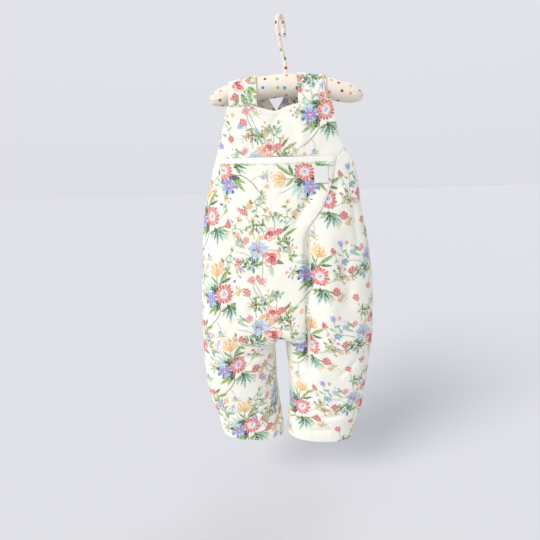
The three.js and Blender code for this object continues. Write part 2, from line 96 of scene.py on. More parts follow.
class DungareesColours(bpy.types.PropertyGroup):
    """The cloth's ground, the print's dyes and the other finishes."""

    ground: colour("Ground", "#fcfaee", "Ivory ground of the floral cotton")
    wrong_side: colour("Wrong side", "#f4eee0", "Inside of the floral cotton")
    crimson: colour("Crimson", "#b52f42", "Hearts and veins of the flowers")
    coral: colour("Coral", "#dc6263", "Zinnia petals and roses")
    rose: colour("Rose", "#ee9c98", "Paler petals")
    blush: colour("Blush", "#fbe3d4", "Palest petals")
    orange: colour("Orange", "#e08f54", "Edges of the tulips, buds")
    peach: colour("Peach", "#f4c691", "Tulips")
    yellow: colour("Yellow", "#edd687", "Small flowers")
    cream: colour("Cream", "#fbe9c4", "Lights of the tulips")
    blue: colour("Blue", "#6f86ca", "Shaded blue petals")
    periwinkle: colour("Periwinkle", "#9cade6", "Blue flowers")
    lilac: colour("Lilac", "#c2c6f0", "Pale florets")
    violet: colour("Violet", "#7f5fb4", "Veins of the blue flowers")
    mist: colour("Mist", "#d7e8d8", "Palest leaves")
    aqua: colour("Aqua", "#a4d3d2", "Pale leaves")
    teal: colour("Teal", "#66aa92", "Leaves of the sprays")
    sage: colour("Sage", "#abc67c", "Young leaves and stalks")
    green: colour("Green", "#5f9152", "Leaves and stems")
    bottle: colour("Bottle green", "#1f4f38", "Leaves in shade")
    dark: colour("Dark", "#171c20", "Gaps behind the flowers")
    olive: colour("Olive", "#a2ae58", "Old leaves")
    stalk: colour("Stalk", "#75875a", "Thin stalks")
    lime: colour("Lime", "#bfe494", "Dashed line of the selvedge")
    selvedge: colour("Selvedge", "#fffdf6", "Plain woven edge")
    # partly painted shadow: this line stands for the shadow in the pouch's open mouth as well as
    # the selvedge's last threads
    edge_thread_and_shadow: colour("Edge thread", "#87938f", "Last threads of the selvedge")
    hanger: colour("Hanger cotton", "#faf0df", "Ground of the spotted cotton")
    sky: colour("Blue spot", "#4f9ede", "Spots of the hanger's cotton")
    tape: colour("Label tape", "#f5f6f4", "Woven label")
    sewing: colour("Sewing thread", "#f4eedd", "Topstitching")
    pink: colour("Pink thread", "#eda6a6", "Stitching at the pouch's corners")
    floor: colour("Floor", "#d6d7db", "Studio floor")


# ---- driving dimensions, in millimetres ---------------------------------------------------------
CLOTH, SEAM_GAP = 2.0, 0.3
BIB_TOP, SIDE_TOP, POUCH_TOP, SEAM_SETTLED = -158, -238, -255, -264
BACK_TOP, UNDERARM, LEG_SEAM, HEM = -272, -334, -622, -858
TILT = 0.06  # the hems hang this much lower to the right, for each millimetre across
CROTCH_DROP = 5  # how far the crotch hangs below the outer end of the leg seam
CROTCH_CURVE = 30  # height in which the panel turns under to the crotch
POUCH_MOUTH, POUCH_CORNER = 3.5, 7  # how far its mouth stands open, and its corners' rounding
MOUTH_SHUT = -285  # down to here the pouch's mouth stands open
POUCH_HIDES = -268  # the pouch covers the centre panel from here down, so it needs few rows
HIDDEN_ROWS, HIDDEN_SPACING = 44, 4.5
# widths that set how many columns a panel has, and the columns of the back's strip to the crotch
FRONT_STRIPS, BACK_LEG, CENTRE_WIDTH, BACK_CROTCH = (132, 120), 230, 225, 12
# x of each panel's straight grain, by wall (-1 front, 1 back) and half (-1 left, 1 right)
GRAIN = {(-1, -1): -104, (-1, 1): 60, (1, -1): -95, (1, 1): 95}
CENTRE_GRAIN = -10
# where the waves of each wall start; the pouch ripples with the centre panel under it
FRONT_SEED, BACK_SEED, CENTRE_SEED = 0.4, 2.1, 0.7
# distances of the topstitching from its edge; a hem's is from the top of the turned hem
BIB_STITCH, BACK_STITCH, HEM_STITCH, STRAP_STITCH = 9, 12, 3, 3.5
POUCH_STITCH, LABEL_STITCH, SMALL_STITCH = 5, 2, 2.6  # and the short stitches' pitch
CORNER_ROWS = 70  # how many rows of the cloth the pink stitches run down the pouch's corner
LABEL, LABEL_THICK = (55, 83, -274, -307), 0.8  # its left, right, top and bottom

# ---- the studio, in metres and degrees ----------------------------------------------------------
FLOOR_REACH, FLOOR_LEVEL = 60, -1.0
CAMERA_AT, CAMERA_TURN = (-0.03375, -0.849, -0.3104), (78.5, 0, -1.7)

# ---- the garment's sections, in millimetres, from the top down ----------------------------------
def rows(names, *values):
    """A table with one array for each named column."""
    return dict(zip(names.split(), np.array(values, float).T))


# side seams, or the armhole edges above the underarm
OUTLINE = rows(
    "z left right",
    (-148, -102, 88),
    (-180, -113, 98),
    (-226, -125, 111),
    (-245, -130, 124),
    (-274, -140, 139),
    (-307, -149, 148),
    (-334, -158, 153),
    (-365, -164, 158),
    (-409, -169, 168),
    (-466, -174, 176),
    (-523, -178, 182),
    (-622, -181, 182),
    (-683, -181, 177),
    (-740, -178, 169),
    (-789, -167, 161),
    (-824, -157, 149),
    (-858, -150, 142),
)
# the back narrows faster than the front between the underarm and its top edge
BACK_OUTLINE = rows(
    "z left right",
    (-272, -90, 72),
    (-288, -98, 82),
    (-310, -122, 112),
    (-334, -158, 153),
)
# seams between the centre and the side panels, carried on down the legs
PANEL = rows(
    "z left right",
    (-262, -124, 98),
    (-308, -121, 89),
    (-352, -113, 70),
    (-400, -103, 37),
    (-421, -99, 31),
    (-486, -100, 32),
    (-622, -104, 34),
    (-720, -102, 40),
    (-858, -90, 55),
)
# inner edges of the legs; above the leg seam they bound the crotch strip
INNER = rows(
    "z left right",
    (-148, -19, 3),
    (-400, -23, -1),
    (-622, -26, -4),
    (-640, -28, -3),
    (-690, -27, 1),
    (-730, -26, 4),
    (-780, -21, 3),
    (-824, -15, -1),
    (-858, -13, -2),
)
# y of each wall's crest and of its edges; round is 0 for a flat bib, 1 for half a tube
FRONT_DEPTH = rows(
    "z crest edge round",
    (-148, -30, -28, 0),
    (-200, -38, -27, 0),
    (-255, -46, -23, 0.15),
    (-290, -52, -12, 0.5),
    (-334, -58, 0, 0.95),
    (-352, -60, 0, 1),
    (-400, -66, 0, 1),
    (-480, -73, 0, 1),
    (-560, -77, 0, 1),
    (-622, -76, 0, 1),
    (-660, -71, 0, 1),
    (-720, -63, 0, 1),
    (-790, -53, 0, 1),
    (-858, -45, 0, 1),
)
BACK_DEPTH = rows(
    "z crest edge round",
    (-272, 38, 35, 0),
    (-290, 42, 36, 0.05),
    (-312, 47, 28, 0.4),
    (-334, 50, 0, 0.95),
    (-352, 52, 0, 1),
    (-400, 57, 0, 1),
    (-480, 62, 0, 1),
    (-560, 63, 0, 1),
    (-622, 60, 0, 1),
    (-720, 52, 0, 1),
    (-790, 46, 0, 1),
    (-858, 42, 0, 1),
)
# the bib's top edge dips between the straps
NECKLINE = rows("x lift", (-105, -2), (-55, -3), (-14, -11), (5, -4), (30, 2), (62, 7), (90, 9))

FRONT_FOLDS = rows(
    "x1 z1 x2 z2 width depth",
    (45, -385, 41, -560, 9, 12),
    (41, -560, 46, -700, 10, 12),
    (-108, -410, -106, -600, 11, 4),
    (-103, -640, -88, -700, 10, 7),
    (50, -322, 14, -392, 11, 6),
    (86, -360, 80, -640, 24, -7),
    (-140, -400, -142, -640, 22, -4),
    (-4, -172, -36, -222, 9, 3),
    (24, -168, 40, -236, 10, -3),
    (-92, -648, -40, -654, 7, 5),
    (-84, -790, -30, -776, 5, 3.5),
    (-112, -806, -66, -812, 5, 3),
    (14, -775, 84, -770, 5, 3.5),
    (30, -806, 118, -798, 6, 3),
    (112, -420, 128, -560, 12, 3),
    (-70, -470, -30, -560, 14, 2),
)
BACK_FOLDS = rows(
    "x1 z1 x2 z2 width depth",
    (-62, -290, -96, -470, 12, 6),
    (48, -290, 92, -500, 12, 6),
    (-8, -330, -18, -600, 16, 5),
    (-98, -500, -100, -700, 11, 7),
    (64, -520, 72, -720, 11, 8),
    (-120, -780, -50, -770, 6, 3),
    (30, -792, 100, -780, 6, 3),
)

# smaller creases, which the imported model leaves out
FRONT_CREASES = rows(
    "x1 z1 x2 z2 width depth",
    (-114, -300, -108, -378, 7, 3),
    (-50, -164, -62, -196, 7, 2),
    (-30, -306, -58, -372, 9, 2),
    (-80, -540, -46, -606, 9, 2.5),
    (-52, -598, -14, -616, 6, 3),
    (38, -602, 8, -618, 6, 3),
    (132, -330, 142, -440, 9, 3),
    (104, -300, 96, -352, 8, 2.5),
    (-150, -560, -114, -592, 8, 2.5),
    (-128, -674, -78, -688, 6, 2.5),
    (-52, -716, -16, -698, 5, 3),
    (-148, -744, -88, -762, 6, 2.5),
    (-70, -742, -22, -734, 5, 2.5),
    (-132, -790, -96, -780, 5, 2),
    (12, -690, 44, -704, 5, 2.5),
    (14, -732, 80, -752, 6, 3),
    (100, -704, 142, -664, 7, 3),
    (96, -760, 148, -748, 5, 2.5),
    (70, -786, 128, -778, 5, 2),
    (-88, -838, -40, -832, 4, 1.5),
    (40, -836, 96, -832, 4, 1.5),
)
BACK_CREASES = rows(
    "x1 z1 x2 z2 width depth",
    (-60, -300, -20, -312, 7, 2),
    (-60, -596, -20, -616, 7, 3),
    (44, -598, 8, -616, 7, 3),
    (-120, -420, -100, -450, 9, 2.5),
    (110, -430, 84, -462, 9, 2.5),
    (-130, -700, -80, -712, 6, 2.5),
    (-100, -744, -40, -736, 6, 2.5),
    (30, -706, 84, -716, 6, 2.5),
    (60, -752, 124, -744, 6, 2.5),
    (-90, -836, -44, -830, 4, 1.5),
)


def smooth(start, end, x):
    t = np.clip((x - start) / (end - start), 0, 1)
    return t * t * (3 - 2 * t)


def lerp(a, b, t):
    return a + (b - a) * t


def read(table, at, name, by="z"):
    """A table's column at a height (or at x), by a cubic that doesn't overshoot."""
    place, value = table[by], table[name]
    if place[0] > place[-1]:
        place, value = place[::-1], value[::-1]
    at = np.clip(at, place[0], place[-1])
    rise = np.diff(value) / np.diff(place)
    a, b = rise[:-1], rise[1:]
    bends = np.where(a * b > 0, 2 * a * b / np.where(a * b > 0, a + b, 1), 0)
    slope = np.concatenate([rise[:1], bends, rise[-1:]])
    i = np.clip(np.searchsorted(place, at, side="right") - 1, 0, len(place) - 2)
    step = place[i + 1] - place[i]
    t = (at - place[i]) / step
    return (
        value[i] * (1 + 2 * t) * (1 - t) ** 2
        + value[i + 1] * t * t * (3 - 2 * t)
        + step * (slope[i] * t * (1 - t) ** 2 - slope[i + 1] * t * t * (1 - t))
    )


def fold_depth(folds, x, z):
    """How far the folds press a wall in at x, z."""
    total = np.zeros(np.broadcast(x, z).shape)
    for x1, z1, x2, z2, width, depth in zip(*folds.values()):
        dx, dz = x2 - x1, z2 - z1
        length = math.hypot(dx, dz)
        along = ((x - x1) * dx + (z - z1) * dz) / length
        across = ((x - x1) * dz - (z - z1) * dx) / length
        ends = smooth(-width, length * 0.25, along) * smooth(length + width, length * 0.75, along)
        total = total + depth * ends * np.exp(-((across / width) ** 2))
    return total


def side_of(half):
    return "left" if half < 0 else "right"


def centre_at(level):
    return (read(INNER, level, "left") + read(INNER, level, "right")) / 2


def side_at(wall, half, level):
    side = read(OUTLINE, level, side_of(half))
    if wall > 0:
        side = np.where(level > UNDERARM, read(BACK_OUTLINE, level, side_of(half)), side)
    return side


def seams_at(wall, half, level):
    """x of a half's side, of its seam beside the front's centre and of the leg's inner edge. A back
    has no such seam: there it is the line that the inner edge is measured from."""
    side, panel, inner = side_at(wall, half, level), *(
        read(table, level, side_of(half)) for table in (PANEL, INNER)
    )
    leaves = np.where(level > SIDE_TOP, 0, smooth(SIDE_TOP + 6, SEAM_SETTLED, level))
    if wall > 0:
        leaves = np.where(level > UNDERARM, 0.5, leaves)
    seam = lerp(side, panel, leaves)
    return side, seam, seam + (inner - seam)


def on_wall(wall, x, level):
    """The middle of a wall (-1 front, 1 back) at x and level, as an array of points."""
    x, level = np.broadcast_arrays(np.asarray(x, float), np.asarray(level, float))
    centre = centre_at(level)
    left = x < centre
    side = np.where(left, side_at(wall, -1, level), side_at(wall, 1, level))
    inner = np.where(left, read(INNER, level, "left"), read(INNER, level, "right"))
    across_body = np.clip((x - side) / (centre - side), 0, 1)
    across_leg = np.clip((x - side) / (inner - side), 0, 1)
    depth = FRONT_DEPTH if wall < 0 else BACK_DEPTH
    flat = 1 - (1 - across_body) ** 2
    tube = (1 - (1 - across_body) ** 2.5) ** (1 / 2.5)
    body = lerp(flat, tube, read(depth, level, "round"))
    leg = (1 - np.abs(2 * across_leg - 1) ** 2.3) ** (1 / 2.3)
    rise = np.clip((level - LEG_SEAM) / CROTCH_CURVE, 0, 1)
    turns_under = np.sqrt(1 - (1 - rise) ** 2)
    blends = smooth(LEG_SEAM - 60, LEG_SEAM + 150, level)
    body_share = lerp(blends, turns_under, smooth(0.5, 0.95, across_leg))
    stands_out = lerp(leg, body, body_share)

    near = np.minimum(1, np.abs(level - LEG_SEAM) / 70)
    droop = CROTCH_DROP * smooth(0.5, 1, across_leg) * (1 + np.cos(np.pi * near)) * 0.5
    z = level - droop - TILT * (x - centre) * smooth(LEG_SEAM, HEM, level)
    if wall < 0:
        z = z + read(NECKLINE, x, "lift", "x") * smooth(BIB_TOP - 60, BIB_TOP, level)
    below = np.where(level < LEG_SEAM, smooth(1, 0.86, across_leg), 1)
    calm = smooth(0, 0.14, across_body) * below
    tables = (FRONT_FOLDS, FRONT_CREASES) if wall < 0 else (BACK_FOLDS, BACK_CREASES)
    pressed = calm * sum(fold_depth(table, x, z) for table in tables)
    y = lerp(read(depth, level, "edge"), read(depth, level, "crest"), stands_out) - wall * pressed
    return np.stack([x, y, z], axis=-1)


# ---- sheets of cloth ----------------------------------------------------------------------------
EDGE_STEPS = (0.5, 1.2)  # distances of the first points from a cut edge, which round it
ROLL, SEAM_ROLL = 1.0, 0.6  # radius of a folded edge, and of one that is sewn to another


def spaced(total, count, gap, start=True, end=True):
    """Distances from 0 to total, count of them, closer together at the edges that are cut.

    total may be an array with one length for each row."""
    total = np.atleast_1d(np.asarray(total, float))[:, None]
    scale = np.minimum(1, total / 12)
    near = np.array([gap, *EDGE_STEPS])[None, :] * scale
    low, high = 2.2 * scale * start, total - 2.2 * scale * end
    between = np.linspace(0, 1, count - near.shape[1] * (start + end))[None, :]
    parts = [near] if start else []
    parts.append(low + (high - low) * between)
    if end:
        parts.append(total - near[:, ::-1])
    return np.concatenate(parts, axis=1)


def arcs(points, axis):
    """Lengths along a grid's rows (axis 1) or columns (axis 0), from its first point."""
    steps = np.linalg.norm(np.diff(points, axis=axis), axis=-1)
    start = np.zeros_like(np.take(steps, [0], axis=axis))
    return np.concatenate([start, np.cumsum(steps, axis=axis)], axis=axis)


def across(wall, start, end, level, count, gap, inset=0, cut_start=True):
    """x of count points on a wall from start to end at each level, spaced evenly on the cloth."""
    crowd = (1 - np.cos(np.linspace(0, np.pi, 160))) / 2
    x = start[:, None] + (end - start)[:, None] * crowd
    run = arcs(on_wall(wall, x, level[:, None]), 1)
    inset = np.broadcast_to(inset, len(level))
    at = inset[:, None] + spaced(run[:, -1] - 2 * inset, count, gap, cut_start)
    return np.array([np.interp(a, s, line) for a, s, line in zip(at, run, x)])


def outward(points, facing):
    """The cloth's outward direction at each point of a grid of rows from the top down."""
    normal = np.cross(np.gradient(points, axis=0), np.gradient(points, axis=1)) * facing
    return normal / np.maximum(np.linalg.norm(normal, axis=-1, keepdims=True), 1e-9)


def rolled(distance, radius=ROLL):
    """How far a folded edge's face drops at a distance from the edge."""
    short = np.clip(1 - distance / radius, 0, 1)
    return radius * (1 - np.sqrt(1 - short**2))


def rim_loop(cells, columns):
    """The points round a grid's cells, one after the other, as row * columns + column."""
    step = {}
    padded = np.pad(cells, 1)
    row, column = np.nonzero(cells)
    sides = (
        ((-1, 0), (0, 1), (0, 0)),  # above: from the right point to the left one
        ((0, -1), (0, 0), (1, 0)),
        ((1, 0), (1, 0), (1, 1)),
        ((0, 1), (1, 1), (0, 1)),
    )
    for (di, dj), (ai, aj), (bi, bj) in sides:
        open_side = ~padded[row + 1 + di, column + 1 + dj]
        corner = (row * columns + column)[open_side]
        here, following = corner + ai * columns + aj, corner + bi * columns + bj
        step.update(zip(here.tolist(), following.tolist()))
    start = min(step)
    loop, at = [start], step[start]
    while at != start:
        loop.append(at)
        at = step[at]
    return loop


def numbered(cells, start=0):
    """Which points of a grid its cells use, each point's number from start, and the quads."""
    rows_count, columns = np.add(cells.shape, 1)
    used = np.zeros((rows_count, columns), bool)
    for di in (0, 1):
        for dj in (0, 1):
            used[di : rows_count - 1 + di, dj : columns - 1 + dj] |= cells
    numbers = np.full(used.size, -1)
    numbers[used.ravel()] = start + np.arange(used.sum())
    i, j = np.nonzero(cells)
    corner = i * columns + j
    around = np.stack([corner, corner + columns, corner + columns + 1, corner + 1], axis=1)
    return used, numbers, numbers[around]


def zipped(fine, coarse, places):
    """Triangles that close the rim between a fine loop of points and a coarse one beside it.

    places are the points' rows and columns, so that neighbours are found along the grid."""
    fine, coarse = np.array(fine), np.array(coarse)
    count = len(fine)
    first = np.argmin(np.linalg.norm(places[fine] - places[coarse[0]], axis=1))
    reach = max(12, 6 * count // len(coarse))
    at = [int(first)]
    for point in coarse[1:]:
        ahead = np.arange(at[-1], at[-1] + reach)
        gaps = np.linalg.norm(places[fine[ahead % count]] - places[point], axis=1)
        at.append(int(ahead[np.argmin(gaps)]))
    at.append(int(first) + count)
    triangles = []
    for k, here in enumerate(coarse):
        following = coarse[(k + 1) % len(coarse)]
        middle = (at[k] + at[k + 1]) // 2
        for i in range(at[k], at[k + 1]):
            nearest = here if i < middle else following
            triangles.append((fine[(i + 1) % count], fine[i % count], nearest))
        triangles.append((here, following, fine[middle % count]))
    return np.array(triangles)


def some_of(count, step, keep=()):
    """Every step-th number of a row of points, from the second one to the last but one."""
    first, last = 2, count - 3
    stops = sorted({first, last, *[k for k in keep if first < k < last]})
    chosen = []
    for a, b in zip(stops, stops[1:]):
        parts = max(1, round((b - a) / step))
        chosen += [round(a + (b - a) * k / parts) for k in range(parts)]
    return np.array(sorted({*chosen, last}))


def closed_cloth(outer, inner, cells, facing, step, keep_rows=(), keep_columns=()):
    """A closed wall of cloth: a fine outside, and an inside that is made of every step-th point.

    Returns its points, quads, triangles, and the grid number that each point came from."""
    rows_count, columns = outer.shape[:2]
    used, numbers, outside = numbered(cells)
    i, j = some_of(rows_count, step, keep_rows), some_of(columns, step, keep_columns)
    sparse = np.array([[cells[a:b, c:d].all() for c, d in zip(j, j[1:])] for a, b in zip(i, i[1:])])
    grid_i, grid_j = np.meshgrid(i, j, indexing="ij")
    sparse_used, sparse_numbers, inside = numbered(sparse, used.sum())
    points = np.concatenate([outer[used], inner[grid_i, grid_j][sparse_used]])
    source = np.concatenate([np.flatnonzero(used), (grid_i * columns + grid_j)[sparse_used]])
    fine = numbers[rim_loop(cells, columns)]
    coarse = sparse_numbers[rim_loop(sparse, len(j))]
    rim = zipped(fine, coarse, np.stack(np.divmod(source, columns), axis=1))
    quads = np.concatenate([outside, inside[:, ::-1]])
    if facing < 0:
        quads, rim = quads[:, ::-1], rim[:, ::-1]
    return points, quads, rim, source, used.sum()


def add_mesh(name, points, quads, triangles, finish, node=None, dye=None, cloth=None):
    """Makes a piece from points in millimetres: smooth, with the points' colours and where the
    points lie on the weave, parents it to the root body and hides the node that it stands for."""
    mesh = bpy.data.meshes.new(name)
    corners = np.concatenate([np.asarray(quads).ravel(), np.asarray(triangles).ravel()]).astype(int)
    sizes = np.concatenate([np.full(len(quads), 4), np.full(len(triangles), 3)])
    mesh.vertices.add(len(points))
    mesh.vertices.foreach_set("co", (np.asarray(points) * MM).ravel())
    mesh.loops.add(len(corners))
    mesh.loops.foreach_set("vertex_index", corners)
    mesh.polygons.add(len(sizes))
    mesh.polygons.foreach_set("loop_start", np.cumsum(sizes) - sizes)
    mesh.update(calc_edges=True)
    mesh.polygons.foreach_set("use_smooth", np.ones(len(sizes), bool))
    if dye is not None:
        layer = mesh.color_attributes.new("print", "FLOAT_COLOR", "POINT")
        layer.data.foreach_set("color", np.c_[dye, np.ones(len(points))].ravel())
    if cloth is not None:
        place = mesh.uv_layers.new(name="cloth")
        place.data.foreach_set("uv", (cloth[corners] * MM).ravel())
    mesh.validate()
    mesh.materials.append(finish)
    piece = bpy.data.objects.new(name, mesh)
    bpy.context.scene.collection.objects.link(piece)
    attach(piece, "root")
    if node:
        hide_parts(node)
    return piece


# ---- fronts, backs and pouch --------------------------------------------------------------------
def spaced_levels(top, bottom, spacing, gap, end=True):
    count = max(8, round((top - bottom) / spacing))
    return top - spaced(top - bottom, count, gap, end=end)[0]


def crotch_levels(spacing, gap):
    """Levels through the height in which the front turns under to the crotch."""
    turned = np.linspace(0, 1, max(8, round(80 / spacing)))
    return LEG_SEAM + gap + (CROTCH_CURVE - gap) * (1 - np.sin(np.pi / 2 * turned))


def levels_to_crotch(top, spacing, gap, short=0):
    """Levels of a panel from its top edge to the crotch, or so far short of it."""
    straight = spaced_levels(top, LEG_SEAM + CROTCH_CURVE, spacing, gap, end=False)[:-1]
    return np.concatenate([straight, crotch_levels(spacing, gap + short)])


def nearest(distance, reach):
    return np.exp(-((distance / reach) ** 2))


def puckers(along, distance, seed):
    """The small ripples that sewing draws into cloth beside a seam."""
    wave = np.sin(along / 2.3 + seed) + 0.8 * np.sin(along / 3.7 + 2 * seed)
    return 0.16 * (wave + 0.6 * np.sin(along / 1.55)) * nearest(distance, 7)


def unevenness(u, v, seed):
    """Cloth never hangs quite smooth: long, low waves."""
    total = 0
    for k, (period, turn) in enumerate(((83, 0.3), (57, 1.9), (41, 1.1), (31, 2.6), (23, 0.7))):
        along = u * math.cos(turn) + v * math.sin(turn)
        total = total + period / 160 * np.sin(2 * np.pi * along / period + seed + 1.7 * k)
    return 0.9 * total


class Wall:
    """A panel of the body: its middle surface as a grid, where each point lies on the cloth, and
    how far it is from each edge. u is measured from the straight grain at x = grain, v is up."""

    def __init__(self, wall, levels, x, sewn, free, grain, half=0, step=None):
        self.wall, self.step, self.sewn, self.free = wall, step, sewn, free
        self.smooth = on_wall(wall, x, levels[:, None])
        self.normal = outward(self.smooth, -wall)
        self.run, self.fall = arcs(self.smooth, 1), arcs(self.smooth, 0)
        line = on_wall(wall, np.linspace(grain, x[:, :1], 60)[..., 0].T, levels[:, None])
        offset = arcs(line, 1)[:, -1:] * np.sign(x[:, :1] - grain)
        self.u = grain + offset + self.run
        self.v = levels[0] - self.fall
        rows_count, columns = x.shape
        missing = np.zeros(x.shape, bool)
        ends = {"left": np.zeros(rows_count, int), "right": np.full(rows_count, columns - 1)}
        top, bottom = self.fall.copy(), self.fall[-1:] - self.fall
        self.above_hem = bottom.copy()
        if step:
            # a front's inner columns start at the leg seam; a back's crotch columns end there
            seam_row, seam_column = step
            spare = slice(seam_column + 1, None) if half < 0 else slice(0, seam_column)
            gone = slice(0, seam_row) if wall < 0 else slice(seam_row, None)
            missing[gone, spare] = True
            ends["right" if half < 0 else "left"][gone] = seam_column
            if wall < 0:
                top[:, spare] -= self.fall[seam_row, spare]
            else:
                bottom[:, spare] = self.fall[seam_row - 1, spare] - self.fall[:, spare]
        self.cells = ~(missing[1:, 1:] | missing[1:, :-1] | missing[:-1, 1:] | missing[:-1, :-1])
        left, right = (np.take_along_axis(self.run, ends[end][:, None], 1) for end in ends)
        self.to = {"left": self.run - left, "right": right - self.run, "top": top, "bottom": bottom}
        self.to = {name: np.where(missing, 50, far) for name, far in self.to.items()}

    def faces(self, thickness, seed, hem=None, out=0.0):
        """Points of the cloth's outside and inside."""
        shift = unevenness(self.u, self.v, seed) * smooth(0, 25, self.edge(*self.sewn, *self.free))
        for name in self.sewn:
            along = self.v if name in ("left", "right") else self.u
            shift = shift - 0.5 * nearest(self.to[name], 2.6)
            shift = shift + puckers(along, self.to[name], seed + len(name))
        drop = np.maximum(rolled(self.edge(*self.free)), rolled(self.edge(*self.sewn), SEAM_ROLL))
        raised = 0
        if hem:
            raised = 0.7 * smooth(hem + 0.8, hem - 0.4, self.above_hem)
            raised = raised + puckers(self.u, np.abs(self.above_hem - hem), seed) * 1.3
        middle = self.smooth + self.normal * (shift + out)[..., None]
        outer = middle + self.normal * (thickness / 2 + raised - drop)[..., None]
        inner = middle - self.normal * (thickness / 2)
        return outer, inner

    def edge(self, *names):
        return np.minimum.reduce([self.to[name] for name in names])


def leg_wall(wall, half, spacing, gap):
    """Half a front or back with its whole leg, in two strips of columns. A front's inner strip
    starts at the leg seam, where the centre panel ends; a back's strip to the crotch ends there."""
    front = wall < 0
    upper = levels_to_crotch(SIDE_TOP if front else BACK_TOP, spacing, gap)
    levels = np.concatenate([upper, spaced_levels(LEG_SEAM, HEM, spacing, gap)])
    side, seam, inner = seams_at(wall, half, levels)
    if front:
        lines, counts = (side, seam, inner), [round(width / spacing) for width in FRONT_STRIPS]
    else:
        lines, counts = (side, inner, centre_at(levels)), [round(BACK_LEG / spacing), BACK_CROTCH]
    first = across(wall, *lines[:2], levels, counts[0], gap)
    second = across(wall, *lines[1:], levels, counts[1], gap, cut_start=False)[:, 1:]
    x, column = np.concatenate([first, second], axis=1), first.shape[1] - 1
    if half > 0:
        x, column = x[:, ::-1], x.shape[1] - 1 - column
    sewn, free = ["left", "right"], ["bottom"]
    (sewn if front else free).append("top")
    return Wall(wall, levels, x, sewn, free, GRAIN[wall, half], half, (len(upper), column))


def centre_wall(levels, spacing, gap, inset=0):
    """The front between its two long seams, as the centre panel and the pouch over it have it."""
    seams = (seams_at(-1, half, levels)[1] for half in (-1, 1))
    x = across(-1, *seams, levels, round(CENTRE_WIDTH / spacing), gap, inset)
    return Wall(-1, levels, x, ("left", "right", "bottom"), ("top",), CENTRE_GRAIN)


# ---- the print ----------------------------------------------------------------------------------
class Brush:
    """Lays soft-edged dyes on the points of a cloth, at a place and turn of its own on it.

    Dyes are given by their names in one string, or as colours."""

    SOFT = 1.0  # width of a printed edge, in millimetres

    def __init__(self, dyes, colour, here, x, y, scale=1.0):
        self.dyes, self.colour, self.here = dyes, colour, here
        self.x, self.y, self.scale = x, y, scale

    def mixed(self, dyes):
        named = isinstance(dyes, str)
        return [getattr(self.dyes, name) for name in dyes.split()] if named else dyes

    def at(self, x, y, turn=0.0, reach=60.0, wide=1.0, high=1.0):
        """The brush moved to x, y, turned (radians, anticlockwise) and stretched."""
        dx, dy = self.x - x, self.y - y
        near = np.flatnonzero((np.abs(dx) < reach) & (np.abs(dy) < reach))
        dx, dy = dx[near], dy[near]
        c, s = math.cos(turn), math.sin(turn)
        place = (c * dx + s * dy) / wide, (c * dy - s * dx) / high
        scale = self.scale * (wide + high) / 2
        return Brush(self.dyes, self.colour, self.here[near], *place, scale)

    def each(self, mark, *rows):
        """Makes a mark for each row of its sizes and dyes."""
        for row in rows:
            mark(self, *row)

    def lay(self, distance, colour, near, strength=1.0):
        """Dyes the near points whose distance is below zero; colour may differ between them."""
        cover = strength * np.clip(0.5 - distance * self.scale / self.SOFT, 0, 1)
        here = self.here[near]
        self.colour[here] += (colour - self.colour[here]) * cover[:, None]

    def blade(self, x, y, turn, long, wide, dyes, blunt=0.5, full=0.5, split=None):
        """A petal or leaf from x, y outwards: blunt rounds its ends, full puts its widest place."""
        dx, dy = self.x - x, self.y - y
        c, s = math.cos(turn), math.sin(turn)
        t, b = (c * dx + s * dy) / long, c * dy - s * dx
        near = np.flatnonzero((t > -0.05) & (t < 1.05) & (np.abs(b) < wide))
        if not len(near):
            return
        t, b = np.clip(t[near], 0, 1), b[near]
        bulge = np.sin(np.pi * t ** (math.log(0.5) / math.log(full))) ** blunt
        base, tip = self.mixed(dyes)
        colours = base + (tip - base) * t[:, None]
        if split is not None:
            colours = colours + (split - colours) * np.clip(b / wide * 6 + 0.2, 0, 0.8)[:, None]
        self.lay(np.abs(b) - bulge * wide / 2, colours, near)

    def dot(self, x, y, radius, dye, strength=1.0):
        near = np.flatnonzero((np.abs(self.x - x) < radius + 2) & (np.abs(self.y - y) < radius + 2))
        out = np.hypot(self.x[near] - x, self.y[near] - y)
        self.lay(out - radius, *self.mixed(dye), near, strength)

    def stem(self, x1, y1, x2, y2, x3, y3, wide=1.0, dye="stalk"):
        """A thin curve through three points, as a quadratic one."""
        a, b, c = np.array([(x1, y1), (x2, y2), (x3, y3)], float)
        t = np.linspace(0, 1, 14)[:, None]
        bend = 2 * b - (a + c) / 2
        line = a * (1 - t) ** 2 + 2 * bend * t * (1 - t) + c * t * t
        (left, low), (right, high) = line.min(0) - 3, line.max(0) + 3
        near = (self.x > left) & (self.x < right) & (self.y > low) & (self.y < high)
        near = np.flatnonzero(near)
        if not len(near):
            return
        x, y = self.x[near], self.y[near]
        best = np.full(len(near), 99.0)
        for p, q in zip(line, line[1:]):
            d = q - p
            along = np.clip(((x - p[0]) * d[0] + (y - p[1]) * d[1]) / (d @ d), 0, 1)
            best = np.minimum(best, np.hypot(x - p[0] - along * d[0], y - p[1] - along * d[1]))
        self.lay(best - wide / 2, *self.mixed(dye), near)


GOLDEN = 2.39996  # radians from one floret or leaf to the next


def ring(count, start=0.0):
    return [start + 2 * math.pi * k / count for k in range(count)]


def outwards(distance, turn):
    return distance * math.cos(turn), distance * math.sin(turn)


def placed(brush, motif, *where):
    motif(brush.at(*where))


def petal_ring(brush, count, inside, outside, wide, dyes, start=0.0, uneven=0.0):
    for k, turn in enumerate(ring(count, start)):
        long = (outside - inside) * (1 + uneven * math.sin(2.4 * k + start))
        brush.blade(*outwards(inside, turn), turn, long, wide, dyes, 0.6, 0.62)


